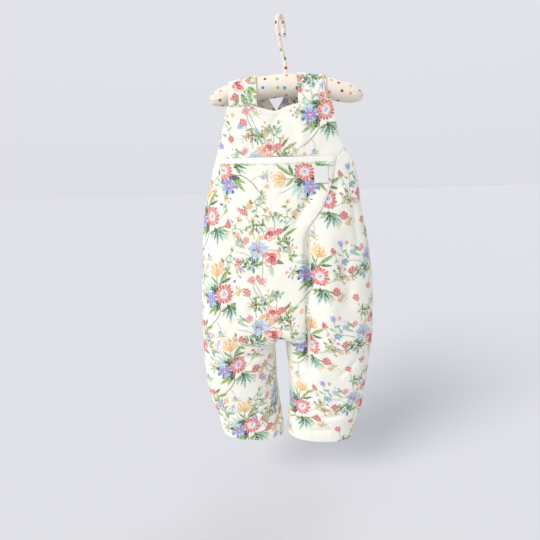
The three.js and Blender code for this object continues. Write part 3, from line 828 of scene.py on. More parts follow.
def zinnia(brush):
    """Rosy petals with dark red tips round a pale eye with blue flecks, 41 mm across."""
    brush.each(
        petal_ring,
        (15, 7, 20, 6.2, "rose coral", 0, 0.16), (15, 12, 20.5, 2.3, "coral crimson", 0.1, 0.2),
        (15, 11, 19.5, 1.1, "ground blush", math.pi / 15, 0.1),
        (12, 4, 14.5, 4.4, "blush rose", 0.2, 0.25), (12, 8, 15, 1.5, "coral crimson", 0.3, 0.3),
        (10, 2, 9.5, 2.4, "ground ground", 0.45, 0.2),
    )
    brush.dot(0, 0, 4.6, "lilac")
    for k in range(7):
        dye = ("violet", "ground", "periwinkle")[k % 3]
        brush.dot(*outwards(1.9 * math.sqrt(k), GOLDEN * k), 0.9, dye)


def blue_flower(brush):
    """Ragged pale blue petals with dark gaps behind and a crimson heart, 40 mm across."""
    for turn, long in ((0.75, 15), (2.45, 16), (3.4, 12), (5.6, 11)):
        brush.blade(*outwards(7, turn), turn, long, 8.5, "dark bottle")
    for k, turn in enumerate(ring(11, 0.2)):
        long, dye = 17 + 3.4 * math.sin(3 * k), ("periwinkle", "blue", "lilac")[k % 3]
        brush.blade(0, 0, turn, long, 6.4, "periwinkle " + dye, 0.55, 0.7)
        brush.blade(*outwards(5, turn), turn + 0.1, long - 8, 1.4, "violet blue", 0.8)
    for turn in ring(8, 0.5):
        brush.blade(*outwards(8, turn), turn, 9, 2.2, "lilac mist")
    petal_ring(brush, 7, 1, 8, 2.2, "crimson rose", 0.1, 0.2)
    brush.dot(0, 0, 1.8, "blush")


def tulip(brush):
    """An open cup of striped pale petals, 30 mm tall, growing up from the origin."""
    petals = (0.8, 21, 8), (-0.85, 22, 8), (0.4, 27, 8.5), (-0.4, 28, 8.5), (0, 29, 8)
    for lean, long, wide in petals:
        turn = math.pi / 2 + lean
        brush.blade(0, 0, turn, long, wide, "orange peach", 0.7, 0.6)
        brush.blade(0, 0, turn, long * 0.94, wide - 1.8, "yellow cream", 0.7, 0.6)
        brush.blade(0, 0, turn - 0.12, long * 0.9, 1.2, "coral orange", 0.8)


def rose(brush):
    """Pale petals with coral edges turned round a deep heart, 36 mm across."""
    for count, start, out, wide, edges, share, inner, lights in (
        (7, 0.5, 10.5, 7.4, "rose coral coral", 0.93, 6.4, "blush ground rose"),
        (5, 0.1, 5.2, 5.6, "crimson crimson crimson", 1.2, 4.4, "rose coral blush"),
    ):
        for k, turn in enumerate(ring(count, start)):
            x, y = outwards(out, turn)
            brush.dot(x, y, wide, edges.split()[k % 3])
            brush.dot(x * share, y * share, inner, lights.split()[k % 3])
    brush.each(Brush.dot, (1.6, 0.8, 4.4, "coral"), (1.2, 0.8, 3.4, "crimson"))


def hydrangea(brush):
    """A head of small florets, pale outside and violet within, 36 mm across."""
    brush.dot(0, 0, 15, "mist", 0.9)
    for k in range(22):
        out, turn = 17 * math.sqrt(k / 22), GOLDEN * k
        floret = brush.at(*outwards(out, turn), turn, 8)
        dye = ("aqua", "mist", "lilac")[k % 3] if out > 8 else ("violet", "lilac")[k % 2]
        petal_ring(floret, 4, 0, 4.6, 3.2, f"{dye} {dye}")
        floret.dot(0, 0, 1.0, "coral" if out < 9 else "periwinkle")
    for turn in ring(5, 1.0):
        brush.blade(*outwards(2, turn), turn, 7, 1.5, "crimson rose")


def small_flower(brush, x, y, radius, dyes, count=5):
    flower, (petals, eye) = brush.at(x, y, x + y, radius + 3), brush.mixed(dyes)
    pale = petals + 0.5 * (1 - petals)
    petal_ring(flower, count, 0, radius, radius * 0.8, (pale, petals), 0.3, 0.2)
    petal_ring(flower, count, radius * 0.2, radius * 0.9, radius * 0.22, (eye, petals), 0.3)
    flower.dot(0, 0, radius * 0.2, [eye])


def leaf(brush, x, y, degrees, long, wide, dyes):
    """A pale leaf with one half in shade and a dark rib."""
    turn, (light, shade) = math.radians(degrees), brush.mixed(dyes)
    brush.blade(x, y, turn, long, wide, (light, light), 0.9, 0.44, (light + 2 * shade) / 3)
    brush.blade(x, y, turn - 0.03, long * 0.75, 1.2, (shade, shade), 0.6, 0.3)


def shadow(brush, x, y, degrees, long, wide):
    brush.blade(x, y, math.radians(degrees), long, wide, "dark bottle")


def leaves(brush, long, lights, shades, *places):
    """Leaves of one length at x, y and a turn in degrees, in dyes that take turns."""
    lights, shades = brush.mixed(lights), brush.mixed(shades)
    for k, place in enumerate(places):
        leaf(brush, *place, long, 5, (lights[k % len(lights)], shades[k % len(shades)]))


def foliage(brush, x, y, wide, high, count, size, lights, shades, seed=0.0):
    """Small leaves that stand away from a middle, with the ground between them."""
    lights, shades = brush.mixed(lights), brush.mixed(shades)
    for k in reversed(range(count)):
        out, turn = math.sqrt((k + 0.6) / count), GOLDEN * k + seed
        lean = turn + 0.9 * math.sin(5 * k + seed)
        long = size * (0.95 + 0.3 * math.sin(3 * k + seed))
        px = x + wide / 2 * out * math.cos(turn) - 0.4 * long * math.cos(lean)
        py = y + high / 2 * out * math.sin(turn) - 0.4 * long * math.sin(lean)
        dyes = lights[k % len(lights)], shades[k % len(shades)]
        leaf(brush, px, py, math.degrees(lean), long, long * 0.46, dyes)
    for k in range(count // 4):
        turn = GOLDEN * k + 2 * seed
        dark = x + wide / 5 * math.cos(turn), y + high / 5 * math.sin(turn)
        brush.blade(*dark, turn + 1, 7, 3.2, (shades[0] * 0.35, shades[0]))


def sprig(brush, x, y, degrees, size, stalk, buds):
    """A forked stalk with buds and small leaves, 30 mm tall before its scale."""
    brush, buds = brush.at(x, y, math.radians(degrees - 90), 40 * size, size, size), buds.split()
    tips = ((-12, 18), (-4, 29), (6, 24), (13, 13), (-13, 8), (2, 14))
    for k, (x, y) in enumerate(tips):
        brush.stem(0, 0, x * 0.25, y * 0.55, x, y, 0.9, stalk)
        lean = math.atan2(y, x) + (0.9 if k % 2 else -0.9)
        dyes = f"{stalk} {stalk}" if k % 2 else "mist green"
        brush.blade(x * 0.4, y * 0.5, lean, 9, 3.2, dyes, 0.9)
    for k, (x, y) in enumerate(tips):
        brush.dot(x, y, 2.1, buds[k % len(buds)])
        brush.dot(x + 2.4, y + 1.6, 1.4, buds[(k + 1) % len(buds)])


def twig(brush):
    """A pale forked twig with small peach flowers, 60 by 60 mm."""
    brush.each(
        Brush.stem,
        (26, 24, 8, 12, -6, 0), (-6, 0, -14, -6, -28, -4), (4, 9, 4, -10, -4, -26),
        (12, 14, 14, -2, 24, -8),
    )
    leaves(
        brush, 11, "sage mist olive aqua", "green teal bottle",
        (18, 19, 80), (12, 15, -60), (-2, 3, 110), (-14, -5, 130), (-18, -6, 240), (3, -8, 200),
        (0, -18, -30), (16, 2, 30), (20, -6, -80), (4, 2, -20),
    )
    brush.each(
        small_flower,
        (-8, 0, 7, "peach orange", 6), (-28, -5, 5, "rose coral"), (-5, -27, 5.5, "yellow crimson"),
        (25, -9, 5, "peach coral"),
    )


def scatter(brush):
    """Loose small flowers on thin stalks, 60 by 80 mm."""
    brush.each(
        Brush.stem,
        (0, -34, 4, -8, -4, 22), (1, -18, -10, -8, -18, 4), (2, -14, 12, -4, 20, 10),
        (0, -34, 10, -34, 18, -40),
    )
    leaves(
        brush, 12, "sage aqua mist", "green teal",
        (0, -24, 150), (3, -10, 40), (0, 2, 165), (1, 10, 30), (10, -4, -30), (-10, -6, 250),
        (6, -34, -70),
    )
    brush.each(
        small_flower,
        (-5, 25, 7, "periwinkle violet"), (-20, 6, 6.5, "coral crimson", 6),
        (22, 13, 5.5, "lilac blue"), (19, -41, 6.5, "yellow orange"), (8, 30, 4.5, "rose coral"),
        (-8, -38, 4.5, "yellow orange"),
    )


def posy(brush):
    """A deep rose and a coral flower with pale leaves, 60 by 80 mm."""
    for x, y, degrees, long, dyes in (
        (-8, -8, 250, 20, "sage bottle"), (-2, -4, 290, 24, "teal bottle"),
        (4, 0, -60, 26, "sage green"), (8, 6, -80, 30, "mist olive"),
        (10, 8, -35, 22, "sage olive"), (12, 14, 0, 18, "mist teal"),
        (8, 20, 40, 18, "sage bottle"), (-2, 24, 70, 16, "green bottle"),
        (-20, -24, 240, 18, "sage green"), (-16, -26, 290, 14, "mist sage"),
    ):
        leaf(brush, x, y, degrees, long, long * 0.42, dyes)
    foliage(brush, 12, -10, 26, 34, 10, 10, "sage mist olive", "green sage", 0.6)
    foliage(brush, -18, -34, 18, 22, 6, 10, "sage mist", "olive green", 2.0)
    placed(brush, rose, -8, 10, 0.9, 20, 0.6, 0.66)
    brush.blade(-15, 16, 0.5, 13, 6, "dark crimson")
    brush.blade(-12, 20, 0.1, 12, 5, "crimson coral")
    brush.each(
        small_flower,
        (-15, -10, 8, "coral crimson", 6), (11, 21, 6.5, "coral crimson"),
        (10, -24, 3.5, "teal blue"),
    )


def spray(brush):
    """A zinnia, a blue flower and a tulip with their leaves, about 110 by 170 mm."""
    brush.each(
        Brush.stem,
        (-14, -18, -17, -40, -42, -62, 1.92), (-6, 8, -10, 20, -8, 38, 1.76),
        (8, -28, 22, -26, 34, -22, 1.04), (10, -14, 28, 0, 40, 4, 0.96),
        (-42, -62, -52, -68, -58, -78, 1.04), (-26, -54, -20, -66, -22, -78, 0.96),
        (-12, 14, -28, 34, -34, 54, 0.96), (-34, -14, -46, -6, -52, 6, 0.96),
    )
    for degrees, long, wide in ((160, 42, 9), (139, 38, 9), (180, 36, 8), (118, 30, 8)):
        leaf(brush, -14, 6, degrees, long, wide, "mist aqua")
        leaf(brush, -14, 6, degrees + 8, long * 0.7, 2.2, "aqua teal")
    brush.each(
        leaf,
        (-14, -18, 212, 40, 8, "sage green"), (-14, -18, 236, 30, 7, "sage green"),
        (-14, -18, 194, 30, 7, "sage green"), (-4, 24, 48, 40, 7, "sage green"),
        (-4, 22, 16, 26, 6, "green bottle"), (-8, 20, 128, 26, 6, "sage green"),
    )
    foliage(brush, -12, 12, 22, 18, 7, 13, "sage green", "bottle dark", 1.3)
    brush.each(shadow, (-6, 12, 205, 18, 10), (-10, -8, 248, 26, 9))
    for degrees, long, dyes in (
        (-22, 27, "aqua teal"), (-50, 34, "mist aqua"), (-73, 27, "aqua green"),
        (-99, 34, "aqua teal"), (-130, 24, "mist teal"), (8, 24, "sage green"),
        (-154, 18, "sage bottle"),
    ):
        leaf(brush, 6 + 4 * math.sin(long), -27, degrees, long, 6.5, dyes)
    for degrees, long in ((-37, 23), (-87, 20), (-115, 25)):
        leaf(brush, 7, -27, degrees, long, 3.8, "green bottle")
    shadow(brush, 3, -22, -75, 14, 6)
    placed(brush, tulip, -8, 36, 0.05, 34)
    placed(brush, blue_flower, -30, -8, 0.2, 30, 1.0, 0.9)
    brush.each(shadow, (-15, -13, 252, 15, 7), (-17, 9, 140, 12, 6))
    placed(brush, zinnia, 0, 0, -0.5, 34, 0.86, 1.02)
    brush.each(
        small_flower,
        (35, -22, 9.5, "coral crimson", 7), (44, -36, 6, "peach orange"),
        (28, -40, 4.5, "yellow orange"),
    )
    for x, y, degrees, size, buds in (
        (28, 2, 40, 1.2, "crimson coral periwinkle rose violet"),
        (42, -26, -20, 0.7, "peach rose yellow orange"),
        (-46, -4, 150, 0.8, "crimson coral periwinkle rose violet"),
        (-22, -74, -80, 0.7, "peach rose yellow orange"),
        (-52, -68, 190, 0.7, "peach rose yellow orange"),
    ):
        sprig(brush, x, y, degrees, size, "sage", buds)
    small_flower(brush, -22, -76, 4.5, "periwinkle violet")
    small_flower(brush, -40, -82, 5.5, "peach orange")


def bouquet(brush):
    """Two roses and a hydrangea over leaves, with loose stalks round them, 140 mm wide."""
    brush.each(
        Brush.stem,
        (-16, -14, -36, -10, -58, -14, 1.1), (-12, -26, -30, -40, -52, -44, 1.1),
        (40, -6, 54, -14, 64, -20, 1.1), (8, -28, 8, -46, 4, -62, 1.1),
        (-6, 20, -12, 44, -24, 70, 1.1), (30, 30, 34, 46, 32, 64, 1.1),
    )
    brush.each(
        foliage,
        (-14, -28, 44, 24, 17, 13, "green sage mist aqua", "bottle green teal dark", 0.3),
        (52, 4, 30, 32, 12, 12, "sage mist olive", "bottle green", 1.1),
        (2, 44, 34, 24, 12, 11, "sage mist olive", "bottle green teal", 2.0),
        (36, 62, 20, 16, 7, 11, "mist sage", "green teal", 0.7),
    )
    brush.each(
        leaf,
        (50, 18, 20, 30, 8, "sage green"), (46, 26, 42, 22, 6, "green bottle"),
        (30, -22, -35, 24, 7, "green bottle"), (22, -30, -78, 26, 10, "mist sage"),
        (62, -24, -20, 16, 7, "sage green"), (60, -26, -62, 14, 6, "sage green"),
        (-24, 0, 168, 26, 5, "aqua sage"), (-22, 8, 150, 22, 5, "sage green"),
        (-48, -8, 130, 18, 4.5, "aqua teal"),
    )
    placed(brush, rose, 24, 28, 1.5, 22, 0.76, 0.7)
    small_flower(brush, 42, 30, 8, "coral crimson", 6)
    placed(brush, hydrangea, 0, 0, 0, 26)
    placed(brush, rose, 25, -18, 0.3, 28, 1.04, 0.92)
    brush.each(
        small_flower,
        (-22, 16, 7, "rose coral", 6), (6, 22, 6, "peach orange"),
        (-24, 70, 7.5, "coral orange", 6), (-58, -16, 7.5, "periwinkle blue"),
        (-39, -30, 8, "coral crimson", 6), (5, -62, 7.5, "rose crimson", 6),
        (-52, -46, 5, "periwinkle violet"),
    )
    brush.each(
        sprig,
        (22, 52, 95, 0.75, "sage", "coral rose orange crimson"),
        (52, -12, -8, 0.75, "sage", "coral rose orange crimson"),
        (-30, -36, 225, 0.65, "green", "coral rose orange crimson"),
        (-34, 2, 120, 0.7, "sage", "periwinkle lilac blue"),
    )


def vine(brush):
    """Two curved stems between a pink flower and a cluster of peach ones, 60 by 100 mm."""
    brush.each(
        Brush.stem,
        (2, -4, 6, -22, 20, -40, 1.2), (6, -6, 14, -20, 22, -40, 1.2),
        (20, -38, 34, -50, 40, -66, 1.2), (16, -36, 30, -52, 36, -66, 1.2),
    )
    foliage(brush, 38, -78, 44, 32, 12, 11, "sage mist olive", "green bottle", 0.2)
    brush.each(leaf, (14, -32, 200, 18, 4.5, "sage green"), (30, -46, 30, 18, 4.5, "sage green"))
    brush.each(
        small_flower,
        (0, 0, 8, "rose crimson", 6), (12, 7, 5, "coral crimson"), (-10, -28, 7, "periwinkle blue"),
        (44, -30, 7.5, "periwinkle violet"), (20, -34, 4.5, "lilac blue"),
        (4, -46, 5.5, "coral crimson"), (30, -72, 7, "peach orange", 7),
        (44, -76, 7, "rose orange", 7), (36, -84, 7, "peach orange", 7),
        (52, -68, 5, "coral orange", 7),
    )
    brush.each(
        sprig,
        (14, -8, 30, 0.6, "sage", "coral peach"), (2, -44, 235, 0.55, "sage", "coral rose"),
        (56, -70, 20, 0.6, "sage", "coral orange"),
    )


# how far each motif reaches from its middle, in millimetres
REACH = {spray: 110, bouquet: 110, vine: 110, twig: 50, scatter: 60, posy: 60}
# Where the columns of the repeat cross each piece: the motif, where one of it lies on the piece
# (across and up, in millimetres), the grain's turn in degrees, and which of its repeats show.
LAYOUT = {
    "front_side_left": (
        (bouquet, -268, -318, 8, -2, 5),
        (scatter, -205, -330, 8, -1, 5),
        (bouquet, -22, -780, 8),
        (vine, -46, -690, 8, 0, 2),
        (twig, -122, -460, 8, -2, 3),
        (spray, -148, -367, 8, -2, 4),
    ),
    "front_side_right": (
        (bouquet, 176, -457, -7, -2, 4),
        (scatter, 128, -302, -7, -1, 4),
        (spray, 82, -348, -7, -1, 4),
    ),
    "front_centre": (
        (vine, -72, -166, 0),
        (twig, -28, -205, 0),
        (bouquet, -53, -257, 0),
        (spray, 83, -178, -3),
        (scatter, -118, -206, 160),
    ),
    "pouch": (
        (spray, 37, -286, 96),
        (spray, -120, -280, 96),
        (twig, -62, -348, 6),
        (twig, 8, -368, 200),
        (twig, -96, -400, 100),
        (vine, -70, -492, 0, 0, 2),
        (bouquet, -56, -431, 0, 0, 3),
        (spray, 66, -490, 0, 0, 2),
        (spray, -144, -488, 0, 0, 2),
    ),
    "back_left": (
        (vine, -64, -300, 3, -1, 5),
        (bouquet, -30, -380, 0, -1, 3),
        (bouquet, -240, -423, 4, -2, 5),
        (scatter, -200, -478, 4, -2, 5),
        (spray, -140, -330, 4, -1, 5),
    ),
    "back_right": (
        (vine, 170, -286, -4, -1, 5),
        (bouquet, 190, -437, -4, -2, 5),
        (bouquet, -30, -380, 0, -1, 3),
        (scatter, 132, -417, -4, -2, 5),
        (twig, 30, -450, 0, -1, 3),
        (spray, 84, -400, -4, -1, 5),
    ),
    "strap_left": (
        (twig, 12, -66, 0),
        (posy, 0, -40, 0),
        (bouquet, -20, 110, 0, -1, 1),
        (scatter, 6, 24, 0),
    ),
    "strap_right": (
        (scatter, -4, -52, 0),
        (bouquet, 12, 4, 0),
        (bouquet, 4, 120, 0),
        (vine, -10, 96, 0),
    ),
}


def taken(u, v):
    """How strongly the cloth took the dyes: thin in small uneven breaks, and doubled in others."""
    a = np.sin(1.21 * u + 0.5 * v + 1.6 * np.sin(0.47 * v))
    a = a * np.sin(1.02 * v - 0.4 * u + 1.4 * np.sin(0.55 * u))
    b = np.sin(0.62 * u - 0.71 * v + 1.2 * np.sin(0.23 * u)) * np.sin(0.55 * v + 0.52 * u)
    thin = 0.5 * smooth(0.15, 0.8, a) + 0.16 * smooth(0.2, 0.9, b)
    return 0.98 - thin + 0.48 * smooth(0.2, 0.8, -a)


def printed(name, u, v, kit):
    """The colour of each point of a piece: the ground, with the print's repeats laid on it."""
    colour = np.tile(kit.ground, (len(u), 1))
    whole = Brush(kit, colour, np.arange(len(u)), u, v)
    for motif, x, y, degrees, *span in LAYOUT[name]:
        turn = math.radians(degrees)
        for k in range(*(span or (0, 1))):
            there = x + k * kit.repeat * math.sin(turn), y - k * kit.repeat * math.cos(turn)
            brush = whole.at(*there, turn, REACH[motif])
            if len(brush.here):
                motif(brush)
    return np.clip(kit.ground + (colour - kit.ground) * taken(u, v)[:, None], 0.006, 1)


# ---- straps and hanger --------------------------------------------------------------------------
BAR_X, BAR_Z, BAR_HALF, BAR_RADIUS, BAR_DROOP = 8, -118, 150, 21.5, 12
STRAP_WIDTH, STRAP_MIDDLE, STRAP_BACK = 54, -10, 44
STRAP_END, STRAP_BACK_END = -180, -292
STRAP_CLEAR, STRAP_TUCK = 0.9, 1.1  # to the bar, and to the cloth that a strap is tucked behind
# where each strap's middle lies over the bar, and how much deeper it is at the crossing
STRAPS = {"strap_left": (-76, 0), "strap_right": (56, 4)}


def bar_drop(x):
    return BAR_DROOP * np.abs((x - BAR_X) / 100) ** 1.6


def bar_radius(x):
    end = np.abs(x - BAR_X) / BAR_HALF
    return BAR_RADIUS * np.sqrt(np.clip(1 - end**10, 0, 1)) * (1 - 0.14 * end * end)


def strap_middle(start, deep, thick, spacing, gap):
    """A strap's middle surface as a grid of rows, from its end behind the bib over the bar to
    the back, where it slants across to the other side and ends inside the back's top edge."""
    end = STRAP_MIDDLE + STRAP_BACK * np.sign(STRAP_MIDDLE - start)
    rest = bar_radius(start) + STRAP_CLEAR + thick / 2
    axis_z = BAR_Z - bar_drop(start)
    tilt = math.atan2(bar_drop(start + 20) - bar_drop(start - 20), 40)
    up = np.array([math.sin(tilt), 0, math.cos(tilt)])
    rise, arc, fall = axis_z - STRAP_END, math.pi * rest, axis_z - STRAP_BACK_END
    s = spaced(rise + arc + fall, round((rise + arc + fall) / spacing), gap)[0]
    angle = np.clip((s - rise) / rest, 0, np.pi)
    out = -np.cos(angle)[:, None] * (0, 1, 0) + np.sin(angle)[:, None] * up
    at = np.array([start, 0, axis_z]) + out * rest
    at[:, 2] += np.minimum(s - rise, 0) - np.maximum(s - rise - arc, 0)
    leaves = rise + arc * 8 / 12
    share = np.clip((s - leaves) / (s[-1] - leaves), 0, 1)
    at[:, 0] = start + (end - start) * share
    wall = np.where(s < rise, -1, np.where(s > rise + arc, 1, 0))[:, None]

    reach = round(10 / spacing)
    numbers = np.arange(len(s))
    before, after = np.maximum(numbers - reach, 0), np.minimum(numbers + reach, len(s) - 1)
    sideways = np.cross(at[after] - at[before], out)
    sideways /= np.linalg.norm(sideways, axis=1)[:, None]
    offset = spaced(STRAP_WIDTH, round(STRAP_WIDTH / spacing), gap)[0] - STRAP_WIDTH / 2
    points = at[:, None] + sideways[:, None] * offset[None, :, None]
    x, z = points[..., 0], points[..., 2]
    around = bar_radius(x) + STRAP_CLEAR + thick / 2
    from_axis = points - np.stack([x, 0 * x, BAR_Z - bar_drop(x)], axis=-1)
    apart = np.linalg.norm(from_axis, axis=-1)
    push = np.where(apart < around, around / apart, 1)[..., None]
    points = points + from_axis * (push - 1)
    x, z = points[..., 0], points[..., 2]
    in_front = CLOTH / 2 + thick / 2 + STRAP_TUCK
    for side, edge in ((-1, BIB_TOP), (1, BACK_TOP)):
        inside = on_wall(side, x, np.minimum(z, edge))[..., 1] - side * in_front
        y = lerp(points[..., 1], inside, smooth(axis_z, edge + 4, z))
        points[..., 1] = np.where(wall == side, y, points[..., 1])
    crosses = smooth(axis_z, axis_z - 30, z) * smooth(BACK_TOP - 14, BACK_TOP + 4, z)
    points[..., 1] -= np.where(wall > 0, deep * crosses, 0)
    return points, offset, s - rise - arc / 2


def lofted(rings):
    """Quads of a closed body from rings of equal count, with a pole point first and last."""
    count, around = len(rings), len(rings[0])
    i, k = np.meshgrid(np.arange(count - 1), np.arange(around), indexing="ij")
    here, after = 1 + i * around + k, 1 + i * around + (k + 1) % around
    quads = np.stack([here, after, after + around, here + around], axis=-1).reshape(-1, 4)
    k = np.arange(around)
    pole = 1 + count * around
    start = np.stack([0 * k, 1 + (k + 1) % around, 1 + k], axis=1)
    last = 1 + (count - 1) * around
    end = np.stack([0 * k + pole, last + k, last + (k + 1) % around], axis=1)
    return quads, np.concatenate([start, end])


def pad_rings():
    """The padded bar's cover, drawn in at its ends and along the seam underneath."""
    slices, around = 220, 96
    share = np.linspace(0.012, 0.988, slices)
    x = BAR_X - BAR_HALF * np.cos(np.pi * share)
    angle = 2 * np.pi * np.arange(around) / around
    radius = bar_radius(x)[:, None]
    ends = smooth(0.72, 1, np.abs(x - BAR_X) / BAR_HALF)[:, None]
    gathers = 0.45 * ends * np.sin(11 * angle + 0.9) + 0.3 * ends * np.sin(17 * angle)
    seam = 1.3 * nearest(np.abs(np.angle(np.exp(1j * (angle - 1.5 * np.pi)))) * BAR_RADIUS, 1.6)
    slack = 0.35 * np.sin(x[:, None] / 13 + 2 * np.sin(angle))
    slack = slack + 0.25 * np.sin(x[:, None] / 7.3 - 3 * angle)
    radius = radius + gathers - seam + slack * np.minimum(1, radius / 12) - 0.35
    y, z = radius * np.cos(angle), radius * np.sin(angle) + (BAR_Z - bar_drop(x))[:, None]
    return np.stack([np.broadcast_to(x[:, None], y.shape), y, z], axis=-1), angle


HOOK_WIRE, HOOK_RADIUS, HOOK_TURN = 4.2, 20, math.radians(20.5)
HOOK_BENDS = ((-1, -9, -50), (6, -1, -74))


def through(points, count):
    """Evenly spaced points on a smooth (centripetal Catmull-Rom) curve through the given ones."""
    points = np.array(points, float)
    points = np.concatenate([[2 * points[0] - points[1]], points, [2 * points[-1] - points[-2]]])
    dense = []
    for p0, p1, p2, p3 in zip(points, points[1:], points[2:], points[3:]):
        spans = [np.linalg.norm(b - a) ** 0.5 for a, b in ((p0, p1), (p1, p2), (p2, p3))]
        k0, k1, k2, k3 = np.cumsum([0, *spans])
        t = np.linspace(k1, k2, 24, endpoint=False)[:, None]
        a1 = ((k1 - t) * p0 + (t - k0) * p1) / (k1 - k0)
        a2 = ((k2 - t) * p1 + (t - k1) * p2) / (k2 - k1)
        a3 = ((k3 - t) * p2 + (t - k2) * p3) / (k3 - k2)
        b1 = ((k2 - t) * a1 + (t - k0) * a2) / (k2 - k0)
        b2 = ((k3 - t) * a2 + (t - k1) * a3) / (k3 - k1)
        dense.append(((k2 - t) * b1 + (t - k1) * b2) / (k2 - k1))
    dense = np.concatenate([*dense, points[-2:-1]])
    run = arcs(dense, 0)
    even = np.linspace(0, run[-1], count)
    return np.stack([np.interp(even, run, dense[:, k]) for k in range(3)], axis=1), even


def hook_rings():
    """The hook's wire, wound with a strip of the hanger's cotton."""
    to_tip = np.array([math.sin(HOOK_TURN), math.cos(HOOK_TURN), 0])
    up = np.array([0, 0, 1])
    middle = HOOK_WIRE - HOOK_RADIUS
    route = []
    for degrees in range(-25, 201, 15):
        angle = math.radians(degrees)
        high = middle + HOOK_RADIUS * math.sin(angle)
        route.append(to_tip * HOOK_RADIUS * math.cos(angle) + up * high)
    foot = BAR_Z + BAR_RADIUS + SEAM_GAP
    line, run = through([*route, *HOOK_BENDS, (BAR_X, 0, foot + 8), (BAR_X, 0, foot)], 300)
    along = np.gradient(line, axis=0)
    along /= np.linalg.norm(along, axis=1)[:, None]
    plane = np.array([math.cos(HOOK_TURN), -math.sin(HOOK_TURN), 0])
    u = plane - along * (along @ plane)[:, None]
    u /= np.linalg.norm(u, axis=1)[:, None]
    v = np.cross(along, u)
    angle = 2 * np.pi * np.arange(24) / 24
    lap = (run[:, None] / 9.0 - angle[None, :] / (2 * np.pi)) % 1  # a 9 mm strip laps itself
    radius = HOOK_WIRE - 0.55 + 0.6 * smooth(0, 0.16, lap) * smooth(1, 0.3, lap)
    rings = line[:, None] + radius[..., None] * (
        u[:, None] * np.cos(angle)[None, :, None] + v[:, None] * np.sin(angle)[None, :, None]
    )
    return rings, line, along, run


# ---- stitches -----------------------------------------------------------------------------------
def stitch_row(line, normal, pitch, thread):
    """Raised stitches along a line of points that lies on cloth, as points and quads."""
    run = arcs(line, 0)
    count = max(1, int(run[-1] / pitch))
    rings = np.array([0.0, 0.18, 0.5, 0.82, 1.0])
    sizes = np.array([0.35, 0.85, 1, 0.85, 0.35])
    lifts = np.array([-0.25, 0.3, 0.45, 0.3, -0.25])
    starts = (np.arange(count) + 0.12) * run[-1] / count
    at = starts[:, None] + rings[None, :] * run[-1] / count * 0.76

    def along(values):
        return np.stack([np.interp(at, run, values[:, k]) for k in range(3)], axis=-1)

    middle, up = along(line), along(normal)
    up /= np.linalg.norm(up, axis=-1, keepdims=True)
    forward = np.gradient(middle, axis=1)
    sideways = np.cross(forward, up)
    sideways /= np.maximum(np.linalg.norm(sideways, axis=-1, keepdims=True), 1e-9)
    middle = middle + up * (lifts * thread)[None, :, None]
    corners = []
    for k in range(4):
        angle = math.pi / 2 * k
        width = thread * 0.62 * math.cos(angle)
        height = thread * 0.5 * math.sin(angle)
        corners.append(middle + sizes[None, :, None] * (sideways * width + up * height))
    points = np.stack(corners, axis=2)
    number = np.arange(points[..., 0].size).reshape(points.shape[:3])
    quads = []
    for k in range(4):
        here, after = number[..., k], number[..., (k + 1) % 4]
        side = np.stack([here[:, :-1], after[:, :-1], after[:, 1:], here[:, 1:]], -1)
        quads.append(side.reshape(-1, 4))
    quads = np.concatenate([*quads, number[:, 0, ::-1], number[:, -1]])
    return points.reshape(-1, 3), quads


def topstitch(kit, name, lines, pitch=None, thread="spun_thread", dye=None):
    """One piece of stitches along lines, which are (points, outward directions)."""
    points, quads, none = np.zeros((0, 3)), np.zeros((0, 4), int), np.zeros((0, 3), int)
    for line, normal in lines:
        more, sides = stitch_row(line, normal, pitch or kit.stitch, kit.thread)
        quads = np.concatenate([quads, sides + len(points)])
        points = np.concatenate([points, more])
    finish = finish_named(thread, sewing_thread, thread, kit.sewing if dye is None else dye)
    return add_mesh(f"stitches_{name}", points, quads, none, finish)


# ---- materials ----------------------------------------------------------------------------------
def connect(node, inputs):
    """Sets a node's inputs to values, or links them to a socket or to a node's first output."""
    for name, value in inputs.items():
        if isinstance(value, bpy.types.Node):
            value = value.outputs[0]
        if isinstance(value, bpy.types.NodeSocket):
            node.id_data.links.new(value, node.inputs[name])
        else:
            node.inputs[name].default_value = value
    return node


def add_node(tree, kind, inputs=(), **settings):
    """A node with its settings, and its inputs as values or links."""
    node = tree.nodes.new("ShaderNode" + kind)
    for name, value in settings.items():
        setattr(node, name, value)
    return connect(node, dict(inputs))


def new_material(name):
    material = bpy.data.materials.new(name)
    material.use_nodes = True
    tree = material.node_tree
    tree.nodes.clear()
    shader = add_node(tree, "BsdfPrincipled")
    add_node(tree, "OutputMaterial", {"Surface": shader})
    return material, tree, shader


LIMITS = "From Min", "From Max", "To Min", "To Max"


def bands(pitch):
    """The scale at which a wave texture repeats once in a pitch in millimetres."""
    return math.tau / 20 / (pitch * MM)


